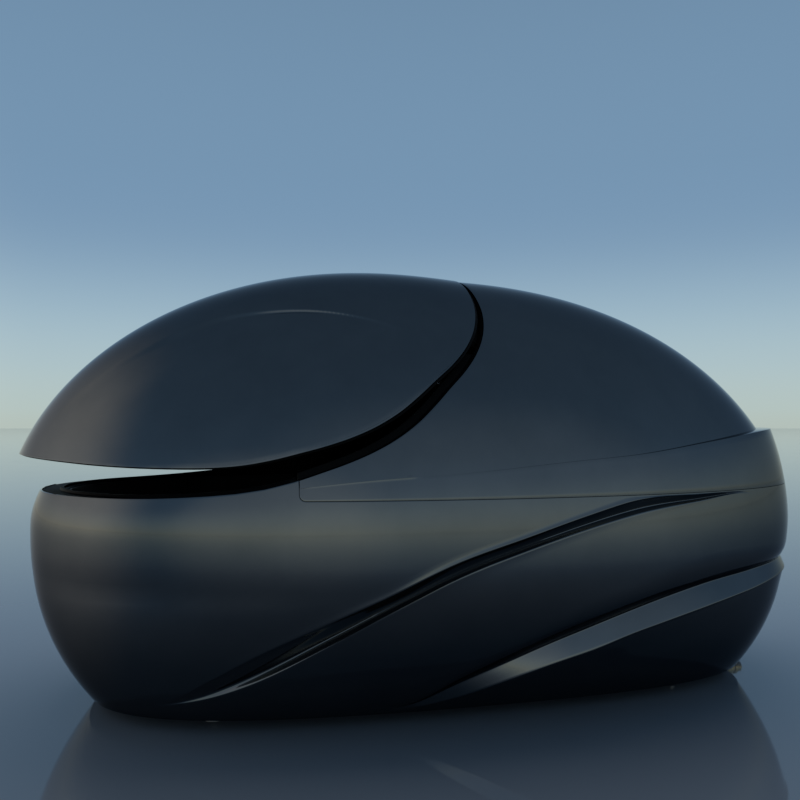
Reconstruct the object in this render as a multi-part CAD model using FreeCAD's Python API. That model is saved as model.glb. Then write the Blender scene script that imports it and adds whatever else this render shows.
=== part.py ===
"""Flotation tank: a closed pod with a lift-up front lid, in millimetres, +X to the rear, +Z up.

The origin is the centre of the floor area. The lid stands slightly ajar.
"""
import FreeCAD, Part
import math
import os

V = FreeCAD.Vector
X, Y, Z = V(1, 0, 0), V(0, 1, 0), V(0, 0, 1)

# ---------------------------------------------------------------- driving dimensions
STATION_X = 14.0            # the widest cross-section of the tub
FRONT_LENGTH = 1252.0       # from that station to the front tip
REAR_LENGTH = 1256.0        # and to the rear tip
HALF_WIDTH = 730.0
SHELL_BOTTOM_Z = 40.0
WIDEST_Z = 535.0
RIM_Z = 636.0
GASKET = 3.0                # between the tub and the canopy
TUCK = {"front": (172.0, 2.3), "rear": (190.0, 1.7), "side": (235.0, 2.0)}   # inset at the foot, power
LEAN = {"front": 2.52e-3, "rear": 0.65e-3, "side": 0.52e-3}                  # inward lean above the waist
OVAL_FULLNESS = 0.613       # Bezier handle of a plan oval; a circle has 0.552
FOOT_FULLNESS = 0.766

DOME_X = -13.0
DOME_BASE_Z = 520.0
DOME_TOP_Z = 1312.0
DOME_FRONT, DOME_REAR, DOME_HALF = 1231.0, 1284.0, 728.0
PLAN_POWER, FRONT_POWER, REAR_POWER = 2.2, 1.77, 1.82
ARCH_HAND_Y, ARCH_HAND_Z = 0.613, 0.455

SKIN = 5.0                  # outer mouldings
LINER = 4.0                 # inner mouldings
LID_DEPTH = 34.0            # skin face to liner face
CANOPY_DEPTH = 38.0
SEAM_X = 66.0               # the lid meets the canopy here at the top
SEAM = [(-1000, 636), (-742, 646), (-560, 671), (-442, 708), (-367, 735), (-291, 770), (-220, 814), (-150, 874),
        (-80, 942), (-31, 990), (10, 1046), (43, 1113), (57, 1175), (63, 1235), (SEAM_X, 1290)]
LID_GAP_X, LID_GAP_Z = 6.6, 4.5
HORN_X = -505.0             # forward end of the canopy on the rim
COLLAR = [(-620, 655), (-340, 685), (-80, 703), (225, 730), (420, 745), (700, 779), (964, 807), (1264, 822)]

HINGE_X, HINGE_Z, HINGE_Y = 107.0, 1287.0, 85.0
LID_AJAR = 4.4              # degrees, as it stands
STRUT_RADIUS, STRUT_Y = 450.0, 482.0
STRUT_LID_ANGLE, STRUT_BODY_ANGLE = 228.0, 284.0    # about the hinge axis, lid closed

BUTTON_X, BUTTON_Y, BUTTON_Z, BUTTON_TILT = -250.0, 617.0, 560.0, 14.0
LIGHT_X, LIGHT_Z, LIGHT_TILT = {-1: -1070.0, 1: 914.0}, 310.0, 17.0
JET_X, JET_Y, JET_Z = -1060.0, 120.0, 330.0
SUMP_X = 700.0
SPEAKER_X = (-560.0, 400.0)
VENT_X, VENT_RADIUS, VENT_Z = 480.0, 66.0, 1150.0

RAIL_Y, RAIL_LOW, RAIL_HIGH, RAIL_WALL = 300.0, 55.0, 95.0, 2.5
CROSS_X = (-800.0, -295.0, 250.0, 560.0)
FOOT_X = (-700.0, -240.0, 270.0, 740.0)

PIPE, PIPE_BORE = 17.0, 14.0        # radii of the water pipes
SOCKET = PIPE + 0.1                 # bore that a pipe is glued into
DRAIN_Z = 70.0
BRANCH_X, BRANCH_Y = 890.0, 80.0
PUMP_X, PUMP_Z = 1010.0, 172.0
PLANT_X = 1010.0            # row of the lamp chamber, the heater and their pipes
FILTER_X, FILTER_Y = 1030.0, 165.0
UV_Z, HEATER_Z = 385.0, 480.0
RETURN_X, RETURN_Z, RETURN_FRONT_X = 1030.0, 575.0, -1158.0
RETURN_ROUTE = [(RETURN_X, -153), (889, -402), (622, -579), (245, -672), (-200, -672), (-565, -612),
                (-852, -497), (-1053, -332), (RETURN_FRONT_X, -123)]     # x, y of its corners, front end last
GLAND_X, GLAND_Y, GLAND_BORE = 1030.0, -60.0, 5.0
GROMMET_RADIUS = 24.0
VALVE_X = 1154.0
SPOUT, SPOUT_BORE, SPOUT_DEPTH = 52.0, 16.0, 26.0     # reach of the outlet, its bore and how deep that is

BASIN = [(150, 985, 800, 470, 0.66), (185, 1040, 850, 520, 0.64), (300, 1090, 905, 572, 0.62),
         (460, 1125, 950, 612, 0.613), (630, 1150, 1000, 655, 0.613)]     # z, front, rear, half width, fullness
BASIN_WALL = 8.0
DECK = 6.0

# place round the plan (0 rear tip, 1 side, 2 front tip), upper edge z, lower edge z, depth of each groove
SWOOSH_HIGH = [(0.60, 633, 629, 1), (0.70, 632, 609, 8), (0.82, 623, 584, 13), (0.90, 585, 552, 16),
               (0.98, 534, 502, 18), (1.06, 477, 439, 19), (1.13, 409, 364, 18), (1.20, 342, 279, 16),
               (1.29, 257, 176, 11), (1.37, 175, 117, 6), (1.45, 106, 92, 1)]
SWOOSH_LOW = [(0.0, 402, 368, 16), (0.13, 402, 368, 16), (0.27, 401, 366, 17), (0.40, 399, 361, 18),
              (0.54, 394, 346, 19), (0.69, 374, 314, 20), (0.77, 346, 286, 20), (0.83, 315, 257, 19),
              (0.88, 282, 220, 18), (0.93, 243, 186, 16), (0.98, 194, 141, 12), (1.03, 136, 92, 8),
              (1.08, 74, 56, 2)]


# ---------------------------------------------------------------- basic shapes
def box(x0, x1, y0, y1, z0, z1):
    return Part.makeBox(x1 - x0, y1 - y0, z1 - z0, V(x0, y0, z0))


def rod(radius, start, end):
    return Part.makeCylinder(radius, (end - start).Length, start, end - start)


def tube(outer, inner, start, end):
    return rod(outer, start, end).cut(rod(inner, start, end))


def both_sides(shape):
    """The shape and its mirror image in the centre plane."""
    return shape, shape.mirror(V(0, 0, 0), Y)


def pair(shape):
    return Part.makeCompound(list(both_sides(shape)))


def bezier(points):
    curve = Part.BezierCurve()
    curve.setPoles(points)
    return curve.toShape()


def pipe(points, bend, outer, inner):
    """A round pipe along straight runs joined by bends of one radius."""
    edges, at = [], points[0]
    for i in range(1, len(points) - 1):
        before, after = (points[i] - points[i - 1]), (points[i + 1] - points[i])
        before.normalize()
        after.normalize()
        turn = before.getAngle(after)
        setback = bend * math.tan(turn / 2)
        a, b = points[i] - before * setback, points[i] + after * setback
        inward = after - before
        inward.normalize()
        middle = points[i] + inward * (bend / math.cos(turn / 2) - bend)
        edges += [Part.makeLine(at, a), Part.Arc(a, middle, b).toShape()]
        at = b
    edges.append(Part.makeLine(at, points[-1]))
    path = Part.Wire(edges)
    start = points[1] - points[0]
    solids = []
    for radius in (outer, inner):
        ring = Part.Wire(Part.makeCircle(radius, points[0], start))
        solids.append(path.makePipeShell([ring], True, False))
    return solids[0].cut(solids[1])


# ---------------------------------------------------------------- the tub's body surface
def half_size(full, side, z, inset=0.0):
    """Half length or half width of the body at a height."""
    if z < WIDEST_Z:
        tuck, power = TUCK[side]
        return full - tuck * ((WIDEST_Z - z) / (WIDEST_Z - SHELL_BOTTOM_Z)) ** power - inset
    return full - LEAN[side] * (z - WIDEST_Z) ** 2 - inset


def fullness(z):
    share = min(max((400.0 - z) / 360.0, 0.0), 1.0)
    return OVAL_FULLNESS + (FOOT_FULLNESS - OVAL_FULLNESS) * share


def plan_oval(z, front, rear, half_width, k=OVAL_FULLNESS):
    """A closed level oval of four Bezier quarters about the widest station."""
    tips = [(rear, 0), (0, half_width), (-front, 0), (0, -half_width)]
    edges = []
    for i, (ax, ay) in enumerate(tips):
        bx, by = tips[(i + 1) % 4]
        first, second = ((ax, k * by), (k * ax, by)) if i % 2 == 0 else ((k * bx, ay), (bx, k * ay))
        edges.append(bezier([V(STATION_X + x, y, z) for x, y in ((ax, ay), first, second, (bx, by))]))
    return Part.Wire(edges)


def body_oval(z, inset=0.0):
    return plan_oval(z, half_size(FRONT_LENGTH, "front", z, inset), half_size(REAR_LENGTH, "rear", z, inset),
                     half_size(HALF_WIDTH, "side", z, inset), fullness(z))


def body(inset=0.0, low=SHELL_BOTTOM_Z, high=700.0, step=75.0):
    """The solid inside the tub's body surface, between two heights."""
    count = max(2, round((high - low) / step))
    return Part.makeLoft([body_oval(low + (high - low) * i / count, inset) for i in range(count + 1)], True)


def body_point(turn, z):
    """A point of the body surface on the near side, and the level direction into the body there."""
    rear = turn <= 1
    t = turn if rear else 2 - turn
    reach = half_size(REAR_LENGTH, "rear", z) if rear else half_size(FRONT_LENGTH, "front", z)
    width, k = half_size(HALF_WIDTH, "side", z), fullness(z)
    sign = 1 if rear else -1
    along = reach * ((1 - t) ** 3 + 3 * t * (1 - t) ** 2 + 3 * t * t * (1 - t) * k)
    across = width * (3 * t * (1 - t) ** 2 * k + 3 * t * t * (1 - t) + t ** 3)
    run = reach * (-3 * (1 - t) ** 2 + 3 * (1 - 3 * t) * (1 - t) + 3 * (2 * t - 3 * t * t) * k)
    rise = width * (3 * (1 - t) * (1 - 3 * t) * k + 3 * (2 * t - 3 * t * t) + 3 * t * t)
    inward = V(-sign * rise, -run, 0)
    return V(STATION_X + sign * along, -across, z), inward.normalize()


# ---------------------------------------------------------------- the domed top surface
def arch(x, half_width, height):
    """A closed upright arch section across the pod."""
    top = DOME_BASE_Z + height
    knee = DOME_BASE_Z + ARCH_HAND_Z * height
    left = bezier([V(x, -half_width, DOME_BASE_Z), V(x, -half_width, knee),
                   V(x, -ARCH_HAND_Y * half_width, top), V(x, 0, top)])
    right = bezier([V(x, 0, top), V(x, ARCH_HAND_Y * half_width, top),
                    V(x, half_width, knee), V(x, half_width, DOME_BASE_Z)])
    sill = Part.makeLine(V(x, half_width, DOME_BASE_Z), V(x, -half_width, DOME_BASE_Z))
    return Part.Wire([left, right, sill])


def dome(inset=0.0, count=8):
    """The solid under the domed top, its ends below the rim."""
    sections = []
    for i in range(-count, count + 1):
        turn = math.radians(84.5) * abs(i) / count
        reach, power = (DOME_FRONT, FRONT_POWER) if i < 0 else (DOME_REAR, REAR_POWER)
        x = DOME_X + math.copysign((reach - inset) * math.sin(turn) ** (2 / PLAN_POWER), i)
        sections.append(arch(x, (DOME_HALF - inset) * math.cos(turn) ** (2 / PLAN_POWER),
                             (DOME_TOP_Z - DOME_BASE_Z - inset) * math.cos(turn) ** (2 / power)))
    return Part.makeLoft(sections, True)


def shell_between(make, outer, inner):
    return make(outer).cut(make(inner))


# ---------------------------------------------------------------- regions seen from the side
def side_region(edges):
    """A region drawn in the XZ plane, extruded across the whole width."""
    face = Part.Face(Part.Wire(edges))
    face.translate(V(0, -900, 0))
    return face.extrude(V(0, 1800, 0))


def polyline(points):
    places = [V(x, 0, z) for x, z in points]
    return [Part.makeLine(a, b) for a, b in zip(places, places[1:])]


def above_seam(dx=0.0, dz=0.0):
    """Everything on the lid's side of the seam."""
    curve = Part.BSplineCurve()
    curve.interpolate([V(x, 0, z) for x, z in SEAM], InitialTangent=X, FinalTangent=Z)
    (x0, z0), (x1, z1) = SEAM[0], SEAM[-1]
    frame = polyline([(x1, z1), (x1, 1450), (-1450, 1450), (-1450, z0), (x0, z0)])
    region = side_region([curve.toShape()] + frame)
    region.translate(V(dx, 0, dz))
    return region


def behind_horn(gap=0.0):
    """Everything above the parting line and behind the canopy's forward horn, with a rounded corner."""
    x, z, r = HORN_X + gap, RIM_Z + gap, 15.0
    corner = Part.Arc(V(x, 0, z + r), V(x + r * 0.293, 0, z + r * 0.293), V(x + r, 0, z)).toShape()
    frame = polyline([(x + r, z), (1400, z), (1400, 1450), (x, 1450), (x, z + r)])
    return side_region([corner] + frame)


def under_collar(drop=0.0):
    """Everything below the collar's top ledge."""
    curve = Part.BSplineCurve()
    curve.interpolate([V(x, 0, z - drop) for x, z in COLLAR])
    (x0, z0), (x1, z1) = COLLAR[0], COLLAR[-1]
    frame = polyline([(x1, z1 - drop), (1500, z1 - drop), (1500, 560), (x0, 560), (x0, z0 - drop)])
    return side_region([curve.toShape()] + frame)


# ---------------------------------------------------------------- flowing grooves
def swoosh_cutter(stations, grow=0.0):
    """A wedge that is steep along its upper edge and runs out gently below, on the near side."""
    sections = []
    for turn, upper, lower, depth in stations:
        top, foot, out = upper + grow, lower - grow, -8.0
        root = top - (upper - lower) * 0.2
        middle, inward = body_point(turn, (upper + lower) / 2)
        profile = [(out, top), (0.5 * depth + grow, top - 1), (depth + grow, root),
                   (0.45 * depth + grow, (root + foot) / 2), (grow * 0.4, foot), (out, foot - 1)]
        points = []
        for into, z in profile:
            skin = (body_point(turn, z)[0] - middle).dot(inward)
            points.append(V(middle.x, middle.y, z) + inward * (skin + into))
        sections.append(Part.makePolygon(points + points[:1]))
    return Part.makeLoft(sections, True)


def swooshes(grow=0.0):
    cutters = []
    for stations in (SWOOSH_HIGH, SWOOSH_LOW):
        cutters += both_sides(swoosh_cutter(stations, grow))
    return cutters


# ---------------------------------------------------------------- outer mouldings of the base
def basin_solid(inset=0.0, lift=0.0, high=None):
    sections = []
    for z, front, rear, half_width, k in BASIN:
        z = z + lift if z < 400 else z
        if high and z > 600:
            z = high
        sections.append(plan_oval(z, front - inset, rear - inset, half_width - inset, k))
    return Part.makeLoft(sections, True)


def inner_body():
    """The space inside the tub's outer moulding, before the grooves."""
    return body(SKIN + 1, SHELL_BOTTOM_Z - 20, 720.0)


def tub_shell():
    top = above_seam().fuse(behind_horn())
    outside = body().cut(top).cut(swooshes())
    wall = outside.cut(inner_body().cut(swooshes(SKIN + 1)))
    mouth = basin_solid(0.0, 0.0, RIM_Z + 40)
    deck = body(SKIN, RIM_Z - DECK, RIM_Z).cut(mouth)
    foot = body(SKIN, SHELL_BOTTOM_Z, SHELL_BOTTOM_Z + 5).cut(body(32.0, SHELL_BOTTOM_Z - 1, SHELL_BOTTOM_Z + 9))
    shell = wall.fuse([deck, foot])
    outlet = rod(GROMMET_RADIUS, V(1000, 0, DRAIN_Z), V(1200, 0, DRAIN_Z))
    return shell.cut(bolt_shanks(4.5) + [outlet])


def basin_void():
    """The space inside the basin."""
    return basin_solid(BASIN_WALL, BASIN_WALL, 660.0)


def basin():
    """The inner tub that holds the water, with a flange under the deck and holes for its fittings."""
    rim = plan_oval(RIM_Z - DECK - 5, 1150 + 26, 1000 + 26, 655 + 26)
    shape = basin_solid().fuse(Part.Face(rim).extrude(V(0, 0, 5))).cut(basin_void())
    holes = [light_rod(end, 46, -30, 40) for end in (-1, 1)]
    holes += [rod(58, V(SUMP_X, 0, 120), V(SUMP_X, 0, 200))]
    holes += [rod(18, V(JET_X - 60, y, JET_Z), V(JET_X + 60, y, JET_Z)) for y in (-JET_Y, JET_Y)]
    holes += [button_rod(sign, 15.0, -40, 40) for sign in (-1, 1)]
    return shape.cut(holes)


def bolt_places():
    """Places of the parting-line bolts on the rear and side rim."""
    wire = plan_oval(RIM_Z, FRONT_LENGTH - 58, REAR_LENGTH - 38, HALF_WIDTH - 37)
    return [p for p in wire.discretize(Number=33)[:-1] if p.x > HORN_X + 80]


def bolt_shanks(radius):
    return [rod(radius, V(p.x, p.y, RIM_Z - 16), V(p.x, p.y, RIM_Z + 14)) for p in bolt_places()]


def canopy_solid(inset=0.0):
    """The canopy's outline, inset from its outer face: the dome's rear and the collar round it."""
    collar = body(inset, 560.0, 850.0, 60.0).common(under_collar(inset))
    return dome(inset).fuse(collar)


def canopy_shell():
    region = behind_horn(GASKET).cut(above_seam())
    wall = canopy_solid().common(region).cut(canopy_solid(SKIN))
    edge = above_seam(6.0, -6.0).cut(above_seam())
    flange = shell_between(dome, SKIN - 2, CANOPY_DEPTH).common(edge).common(behind_horn(GASKET))
    foot = body(SKIN - 2, RIM_Z + GASKET, RIM_Z + GASKET + 6).cut(body(48.0, RIM_Z, RIM_Z + 20))
    foot = foot.common(region)
    slots = [hinge_slot(sign) for sign in (-1, 1)]
    return wall.fuse([flange, foot]).cut(slots).cut(bolt_shanks(4.5))


def hinge_slot(sign):
    """Where a hinge arm swings through the canopy's front edge and liner, under its skin."""
    y = sign * HINGE_Y
    return box(SEAM_X - 40, HINGE_X + 14, y - 17, y + 17, HINGE_Z - 80, HINGE_Z + 11)


def canopy_liner():
    region = behind_horn(GASKET + 6).cut(above_seam())
    wall = shell_between(dome, CANOPY_DEPTH, CANOPY_DEPTH + LINER).common(region)
    vent = rod(VENT_RADIUS - 6, V(VENT_X, 0, 1100), V(VENT_X, 0, 1290))
    return wall.cut([hinge_slot(-1), hinge_slot(1), vent])


def rim_gasket():
    ring = body(7.0, RIM_Z, RIM_Z + GASKET).cut(body(48.0, RIM_Z - 10, RIM_Z + GASKET + 10))
    return ring.common(box(HORN_X + 6, 1400, -900, 900, 600, 700)).cut(bolt_shanks(4.5))


def rim_lip():
    """The raised lip round the open front of the tub; it follows the rim up to the canopy."""
    ring = body(53.0, RIM_Z, 720.0).cut(body(62.0, RIM_Z - 20, 740.0))
    return ring.cut(above_seam(0, 6.0)).common(box(-1400, HORN_X - 4, -900, 900, 600, 760))


def canopy_edge_seal():
    """A soft lip that stands forward of the canopy's edge, inside the lid."""
    depth = CANOPY_DEPTH + LINER
    band = above_seam(10.0, -10.0).cut(above_seam(-12.0, 12.0))
    ring = shell_between(dome, depth, depth + 9).common(band)
    ring = ring.common(box(HORN_X + 2, 400, -900, 900, RIM_Z + 4, 1400))
    gaps = both_sides(box(-120, 160, STRUT_Y - 17, STRUT_Y + 17, 880, 1120))
    return ring.cut([hinge_slot(-1), hinge_slot(1)]).cut(gaps)


def parting_bolts():
    bolts = []
    for p in bolt_places():
        shank = rod(4.0, V(p.x, p.y, RIM_Z - 14), V(p.x, p.y, RIM_Z + 14))
        head = rod(6.5, V(p.x, p.y, RIM_Z + GASKET + 6), V(p.x, p.y, RIM_Z + 15))
        nut = rod(7.0, V(p.x, p.y, RIM_Z - 14), V(p.x, p.y, RIM_Z - DECK))
        bolts.append(shank.fuse([head, nut]))
    return Part.makeCompound(bolts)


# ---------------------------------------------------------------- lid, drawn closed and set ajar at the end
def ajar(shape):
    turned = shape.copy()
    turned.rotate(V(HINGE_X, 0, HINGE_Z), Y, LID_AJAR)
    return turned


def lid_shell():
    region = above_seam(-LID_GAP_X, LID_GAP_Z)
    wall = shell_between(dome, 0.0, SKIN).common(region)
    edge = region.cut(above_seam(-LID_GAP_X - 6, LID_GAP_Z + 6))
    flange = shell_between(dome, SKIN - 2, LID_DEPTH).common(edge)
    return ajar(wall.fuse(flange))


def lid_liner():
    region = above_seam(-LID_GAP_X, LID_GAP_Z)
    return ajar(shell_between(dome, LID_DEPTH, LID_DEPTH + LINER).common(region))


def lid_edge_seal():
    """A bead under the lid's edge, left out near the hinge where the edge turns past the canopy."""
    band = above_seam(-1.5, 1.0).cut(above_seam(-LID_GAP_X, LID_GAP_Z))
    ring = shell_between(dome, 9.0, 24.0).common(band)
    return ajar(ring.common(box(-1400, 200, -900, 900, 600, 1225)))


def lid_handle():
    """A grab bar across the lid's inside near the front."""
    x, z, half = -1040.0, 790.0, 150.0
    bar = pipe([V(x, -half, z + 70), V(x, -half, z), V(x, half, z), V(x, half, z + 70)], 28.0, 11.0, 8.0)
    feet = [rod(19, V(x, y, z + 20), V(x, y, z + 70)) for y in (-half, half)]
    return ajar(bar.fuse(feet).common(dome(LID_DEPTH + LINER)))


# ---------------------------------------------------------------- lid hinges
def hinge_bracket(sign):
    y = sign * HINGE_Y
    cheeks = [box(HINGE_X - 13, HINGE_X + 75, y + side * 15 - 3, y + side * 15 + 3, HINGE_Z - 10, HINGE_Z + 40)
              for side in (-1, 1)]
    back = box(HINGE_X + 24, HINGE_X + 75, y - 15, y + 15, HINGE_Z - 2, HINGE_Z + 40)
    shape = back.fuse(cheeks).common(dome(SKIN + 0.1))
    return shape.cut(rod(4.0, V(HINGE_X, y - 30, HINGE_Z), V(HINGE_X, y + 30, HINGE_Z)))


def hinge_pin(sign):
    y = sign * HINGE_Y
    pin = rod(4.0, V(HINGE_X, y - 21, HINGE_Z), V(HINGE_X, y + 21, HINGE_Z))
    heads = [rod(6.5, V(HINGE_X, y + s * 18.2, HINGE_Z), V(HINGE_X, y + s * 21, HINGE_Z)) for s in (-1, 1)]
    return pin.fuse(heads)


def hinge_bush(sign):
    y = sign * HINGE_Y
    bush = tube(6.0, 4.06, V(HINGE_X, y - 11.5, HINGE_Z), V(HINGE_X, y + 11.5, HINGE_Z))
    return ajar(bush)


def hinge_arm(sign):
    """A gooseneck plate: the eye, a neck that passes under the canopy's edge, and a pad on the lid's liner."""
    y, width = sign * HINGE_Y, 20.0
    neck = [(-4, -9), (-24, -32), (-34, -41), (-84, -41), (-96, -34), (-104, -24), (-190, -24),
            (-190, -18), (-98, -18), (-82, -31), (-40, -31), (-33, -25), (-8, 3)]
    outline = [V(HINGE_X + x, y - width / 2, HINGE_Z + z) for x, z in neck]
    plate = Part.Face(Part.makePolygon(outline + outline[:1])).extrude(V(0, width, 0))
    eye = rod(9.0, V(HINGE_X, y - width / 2, HINGE_Z), V(HINGE_X, y + width / 2, HINGE_Z))
    arm = plate.fuse(eye).cut(rod(6.0, V(HINGE_X, y - 20, HINGE_Z), V(HINGE_X, y + 20, HINGE_Z)))
    pad = box(HINGE_X - 190, HINGE_X - 110, y - 24, y + 24, HINGE_Z - 24, HINGE_Z + 10)
    pad = pad.common(dome(LID_DEPTH + LINER))
    return ajar(arm.common(dome(LID_DEPTH + LINER).fuse(box(20, 140, -150, 150, 1200, 1300))).fuse(pad))


# ---------------------------------------------------------------- gas struts
def about_hinge(angle, radius=STRUT_RADIUS):
    turn = math.radians(angle)
    return HINGE_X + radius * math.cos(turn), HINGE_Z + radius * math.sin(turn)


def strut_ends():
    """The body pivot and the lid pivot with the lid ajar, as points in the XZ plane."""
    return about_hinge(STRUT_BODY_ANGLE), about_hinge(STRUT_LID_ANGLE - LID_AJAR)


def strut_cylinder(sign):
    (bx, bz), (lx, lz) = strut_ends()
    y = sign * STRUT_Y
    base, tip = V(bx, y, bz), V(lx, y, lz)
    way = (tip - base).normalize()
    barrel = rod(10.5, base + way * 16, base + way * 322).cut(rod(9.5, base + way * 22, base + way * 318))
    guide = tube(9.5, 4.15, base + way * 300, base + way * 318)
    eye = rod(9.0, V(bx, y - 6, bz), V(bx, y + 6, bz)).fuse(rod(6.0, base, base + way * 18))
    body_ = barrel.cut(rod(4.15, base + way * 310, base + way * 330)).fuse([guide, eye])
    return body_.cut(rod(5.06, V(bx, y - 20, bz), V(bx, y + 20, bz)))


def strut_rod(sign):
    (bx, bz), (lx, lz) = strut_ends()
    y = sign * STRUT_Y
    base, tip = V(bx, y, bz), V(lx, y, lz)
    way = (base - tip).normalize()
    stem = rod(4.0, tip + way * 4, tip + way * 396)
    piston = rod(9.2, tip + way * 388, tip + way * 396)
    eye = rod(9.0, V(lx, y - 6, lz), V(lx, y + 6, lz)).fuse(rod(6.0, tip, tip + way * 22))
    return stem.fuse([piston, eye]).cut(rod(5.06, V(lx, y - 20, lz), V(lx, y + 20, lz)))


def strut_post(x, z, sign, reach):
    """A stud on a stepped post that stands off the liner."""
    y = sign * STRUT_Y
    stud = rod(5.0, V(x, y - sign * 9, z), V(x, y + sign * 10, z))
    cap = rod(7.5, V(x, y - sign * 9, z), V(x, y - sign * 7, z))
    post = rod(12.0, V(x, y + sign * 8, z), V(x, y + sign * 200, z)).common(dome(reach))
    foot = rod(26.0, V(x, y + sign * 8, z), V(x, y + sign * 200, z))
    foot = foot.common(dome(reach)).cut(dome(reach + 8))
    return post.fuse([stud, cap, foot])


def strut_post_body(sign):
    x, z = about_hinge(STRUT_BODY_ANGLE)
    return strut_post(x, z, sign, CANOPY_DEPTH + LINER)


def strut_post_lid(sign):
    x, z = about_hinge(STRUT_LID_ANGLE)
    return ajar(strut_post(x, z, sign, LID_DEPTH + LINER))


# ---------------------------------------------------------------- fittings in the basin
def button_rod(sign, radius, start, end):
    """A rod through a button's place on the basin wall, measured into the basin."""
    turn = math.radians(BUTTON_TILT)
    way = V(0, -sign * math.cos(turn), math.sin(turn))
    centre = V(BUTTON_X, sign * BUTTON_Y, BUTTON_Z)
    return rod(radius, centre + way * start, centre + way * end)


def button_bezel(sign):
    ring = button_rod(sign, 24.0, -6, 6).common(basin_void())
    barrel = button_rod(sign, 15.0, -26, 4)
    return ring.fuse(barrel).cut([button_rod(sign, 11.4, -20, 20)])


def push_button(sign):
    cap = button_rod(sign, 11.0, -8, 9)
    dish = button_rod(sign, 8.0, 8.2, 12)
    return cap.fuse(button_rod(sign, 4.0, -15, -7)).cut(dish)


def light_rod(end, radius, start, stop):
    """A rod through a light's place on an end wall of the basin, measured into the basin."""
    turn = math.radians(LIGHT_TILT)
    way = V(-end * math.cos(turn), 0, math.sin(turn))
    centre = V(LIGHT_X[end], 0, LIGHT_Z)
    return rod(radius, centre + way * start, centre + way * stop)


def light_housing(end):
    can = light_rod(end, 44.0, -42, 2).cut(light_rod(end, 40.0, -36, 10))
    return can.fuse(light_rod(end, 10.0, -56, -42))


def light_bezel(end):
    ring = light_rod(end, 62.0, -8, 10).common(basin_void())
    return ring.cut(light_rod(end, 38.0, -20, 20)).cut(light_rod(end, 46.5, -20, 2))


def light_lens(end):
    return light_rod(end, 39.9, -1.9, 2).fuse(light_rod(end, 37.6, 0, 8))


def return_jet(sign):
    y = sign * JET_Y
    barrel = tube(17.5, 11.0, V(JET_X - 34, y, JET_Z), V(JET_X + 14, y, JET_Z))
    flange = rod(30.0, V(JET_X - 20, y, JET_Z), V(JET_X + 12, y, JET_Z)).common(basin_void())
    return barrel.fuse(flange).cut(rod(11.0, V(JET_X - 40, y, JET_Z), V(JET_X + 40, y, JET_Z)))


def suction_sump():
    """The cup in the basin's floor that the water leaves by, clamped under the floor by its flange."""
    cup = rod(57.5, V(SUMP_X, 0, 112), V(SUMP_X, 0, 158)).fuse(rod(72, V(SUMP_X, 0, 145), V(SUMP_X, 0, 150)))
    spigot = rod(24, V(SUMP_X, 0, 100), V(SUMP_X, 0, 113))
    hollow = rod(53, V(SUMP_X, 0, 118), V(SUMP_X, 0, 170))
    return cup.fuse(spigot).cut([hollow, rod(SOCKET, V(SUMP_X, 0, 80), V(SUMP_X, 0, 120))])


def suction_grille():
    disc = rod(72, V(SUMP_X, 0, 158), V(SUMP_X, 0, 163)).fuse(rod(52.5, V(SUMP_X, 0, 152), V(SUMP_X, 0, 158)))
    holes = []
    for ring, count in ((20, 8), (36, 14)):
        for i in range(count):
            turn = 2 * math.pi * i / count
            holes.append(Part.makeCylinder(4.2, 30, V(SUMP_X + ring * math.cos(turn), ring * math.sin(turn), 145)))
    return disc.cut(holes)


def speakers():
    """Transducers that play into the water through the basin's floor."""
    pieces = []
    for x in SPEAKER_X:
        pieces.append(rod(45, V(x, 0, 112), V(x, 0, 132)).fuse(rod(66, V(x, 0, 132), V(x, 0, 150))))
    return Part.makeCompound(pieces)


# ---------------------------------------------------------------- ventilation
def vent_duct():
    ring = tube(VENT_RADIUS, VENT_RADIUS - 4, V(VENT_X, 0, VENT_Z), V(VENT_X, 0, 1290))
    bridge = [box(VENT_X - 63, VENT_X + 63, -3, 3, VENT_Z + 6, VENT_Z + 10),
              box(VENT_X - 3, VENT_X + 3, -63, 63, VENT_Z + 6, VENT_Z + 10)]
    motor = rod(16, V(VENT_X, 0, VENT_Z + 6), V(VENT_X, 0, VENT_Z + 16))
    spindle = rod(3, V(VENT_X, 0, VENT_Z + 16), V(VENT_X, 0, VENT_Z + 34))
    return ring.common(dome(CANOPY_DEPTH + LINER)).fuse(bridge + [motor, spindle])


def vent_grille():
    base = rod(VENT_RADIUS + 10, V(VENT_X, 0, VENT_Z - 6), V(VENT_X, 0, VENT_Z))
    spokes = [box(VENT_X - 80, VENT_X + 80, -3, 3, 1100, 1200), box(VENT_X - 3, VENT_X + 3, -80, 80, 1100, 1200)]
    slots = [tube(r, r - 5, V(VENT_X, 0, VENT_Z - 10), V(VENT_X, 0, VENT_Z + 10)).cut(spokes)
             for r in (58, 48, 38, 28, 18)]
    return base.cut(slots)


def fan_rotor():
    hub = rod(17, V(VENT_X, 0, VENT_Z + 17), V(VENT_X, 0, VENT_Z + 33))
    blades = []
    for i in range(7):
        blade = box(15, 58, -1.2, 1.2, -9, 9)
        blade.rotate(V(0, 0, 0), X, 32)
        blade.rotate(V(0, 0, 0), Z, i * 360 / 7)
        blade.translate(V(VENT_X, 0, VENT_Z + 26))
        blades.append(blade)
    return hub.fuse(blades).cut(rod(3.06, V(VENT_X, 0, VENT_Z), V(VENT_X, 0, VENT_Z + 60)))


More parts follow.
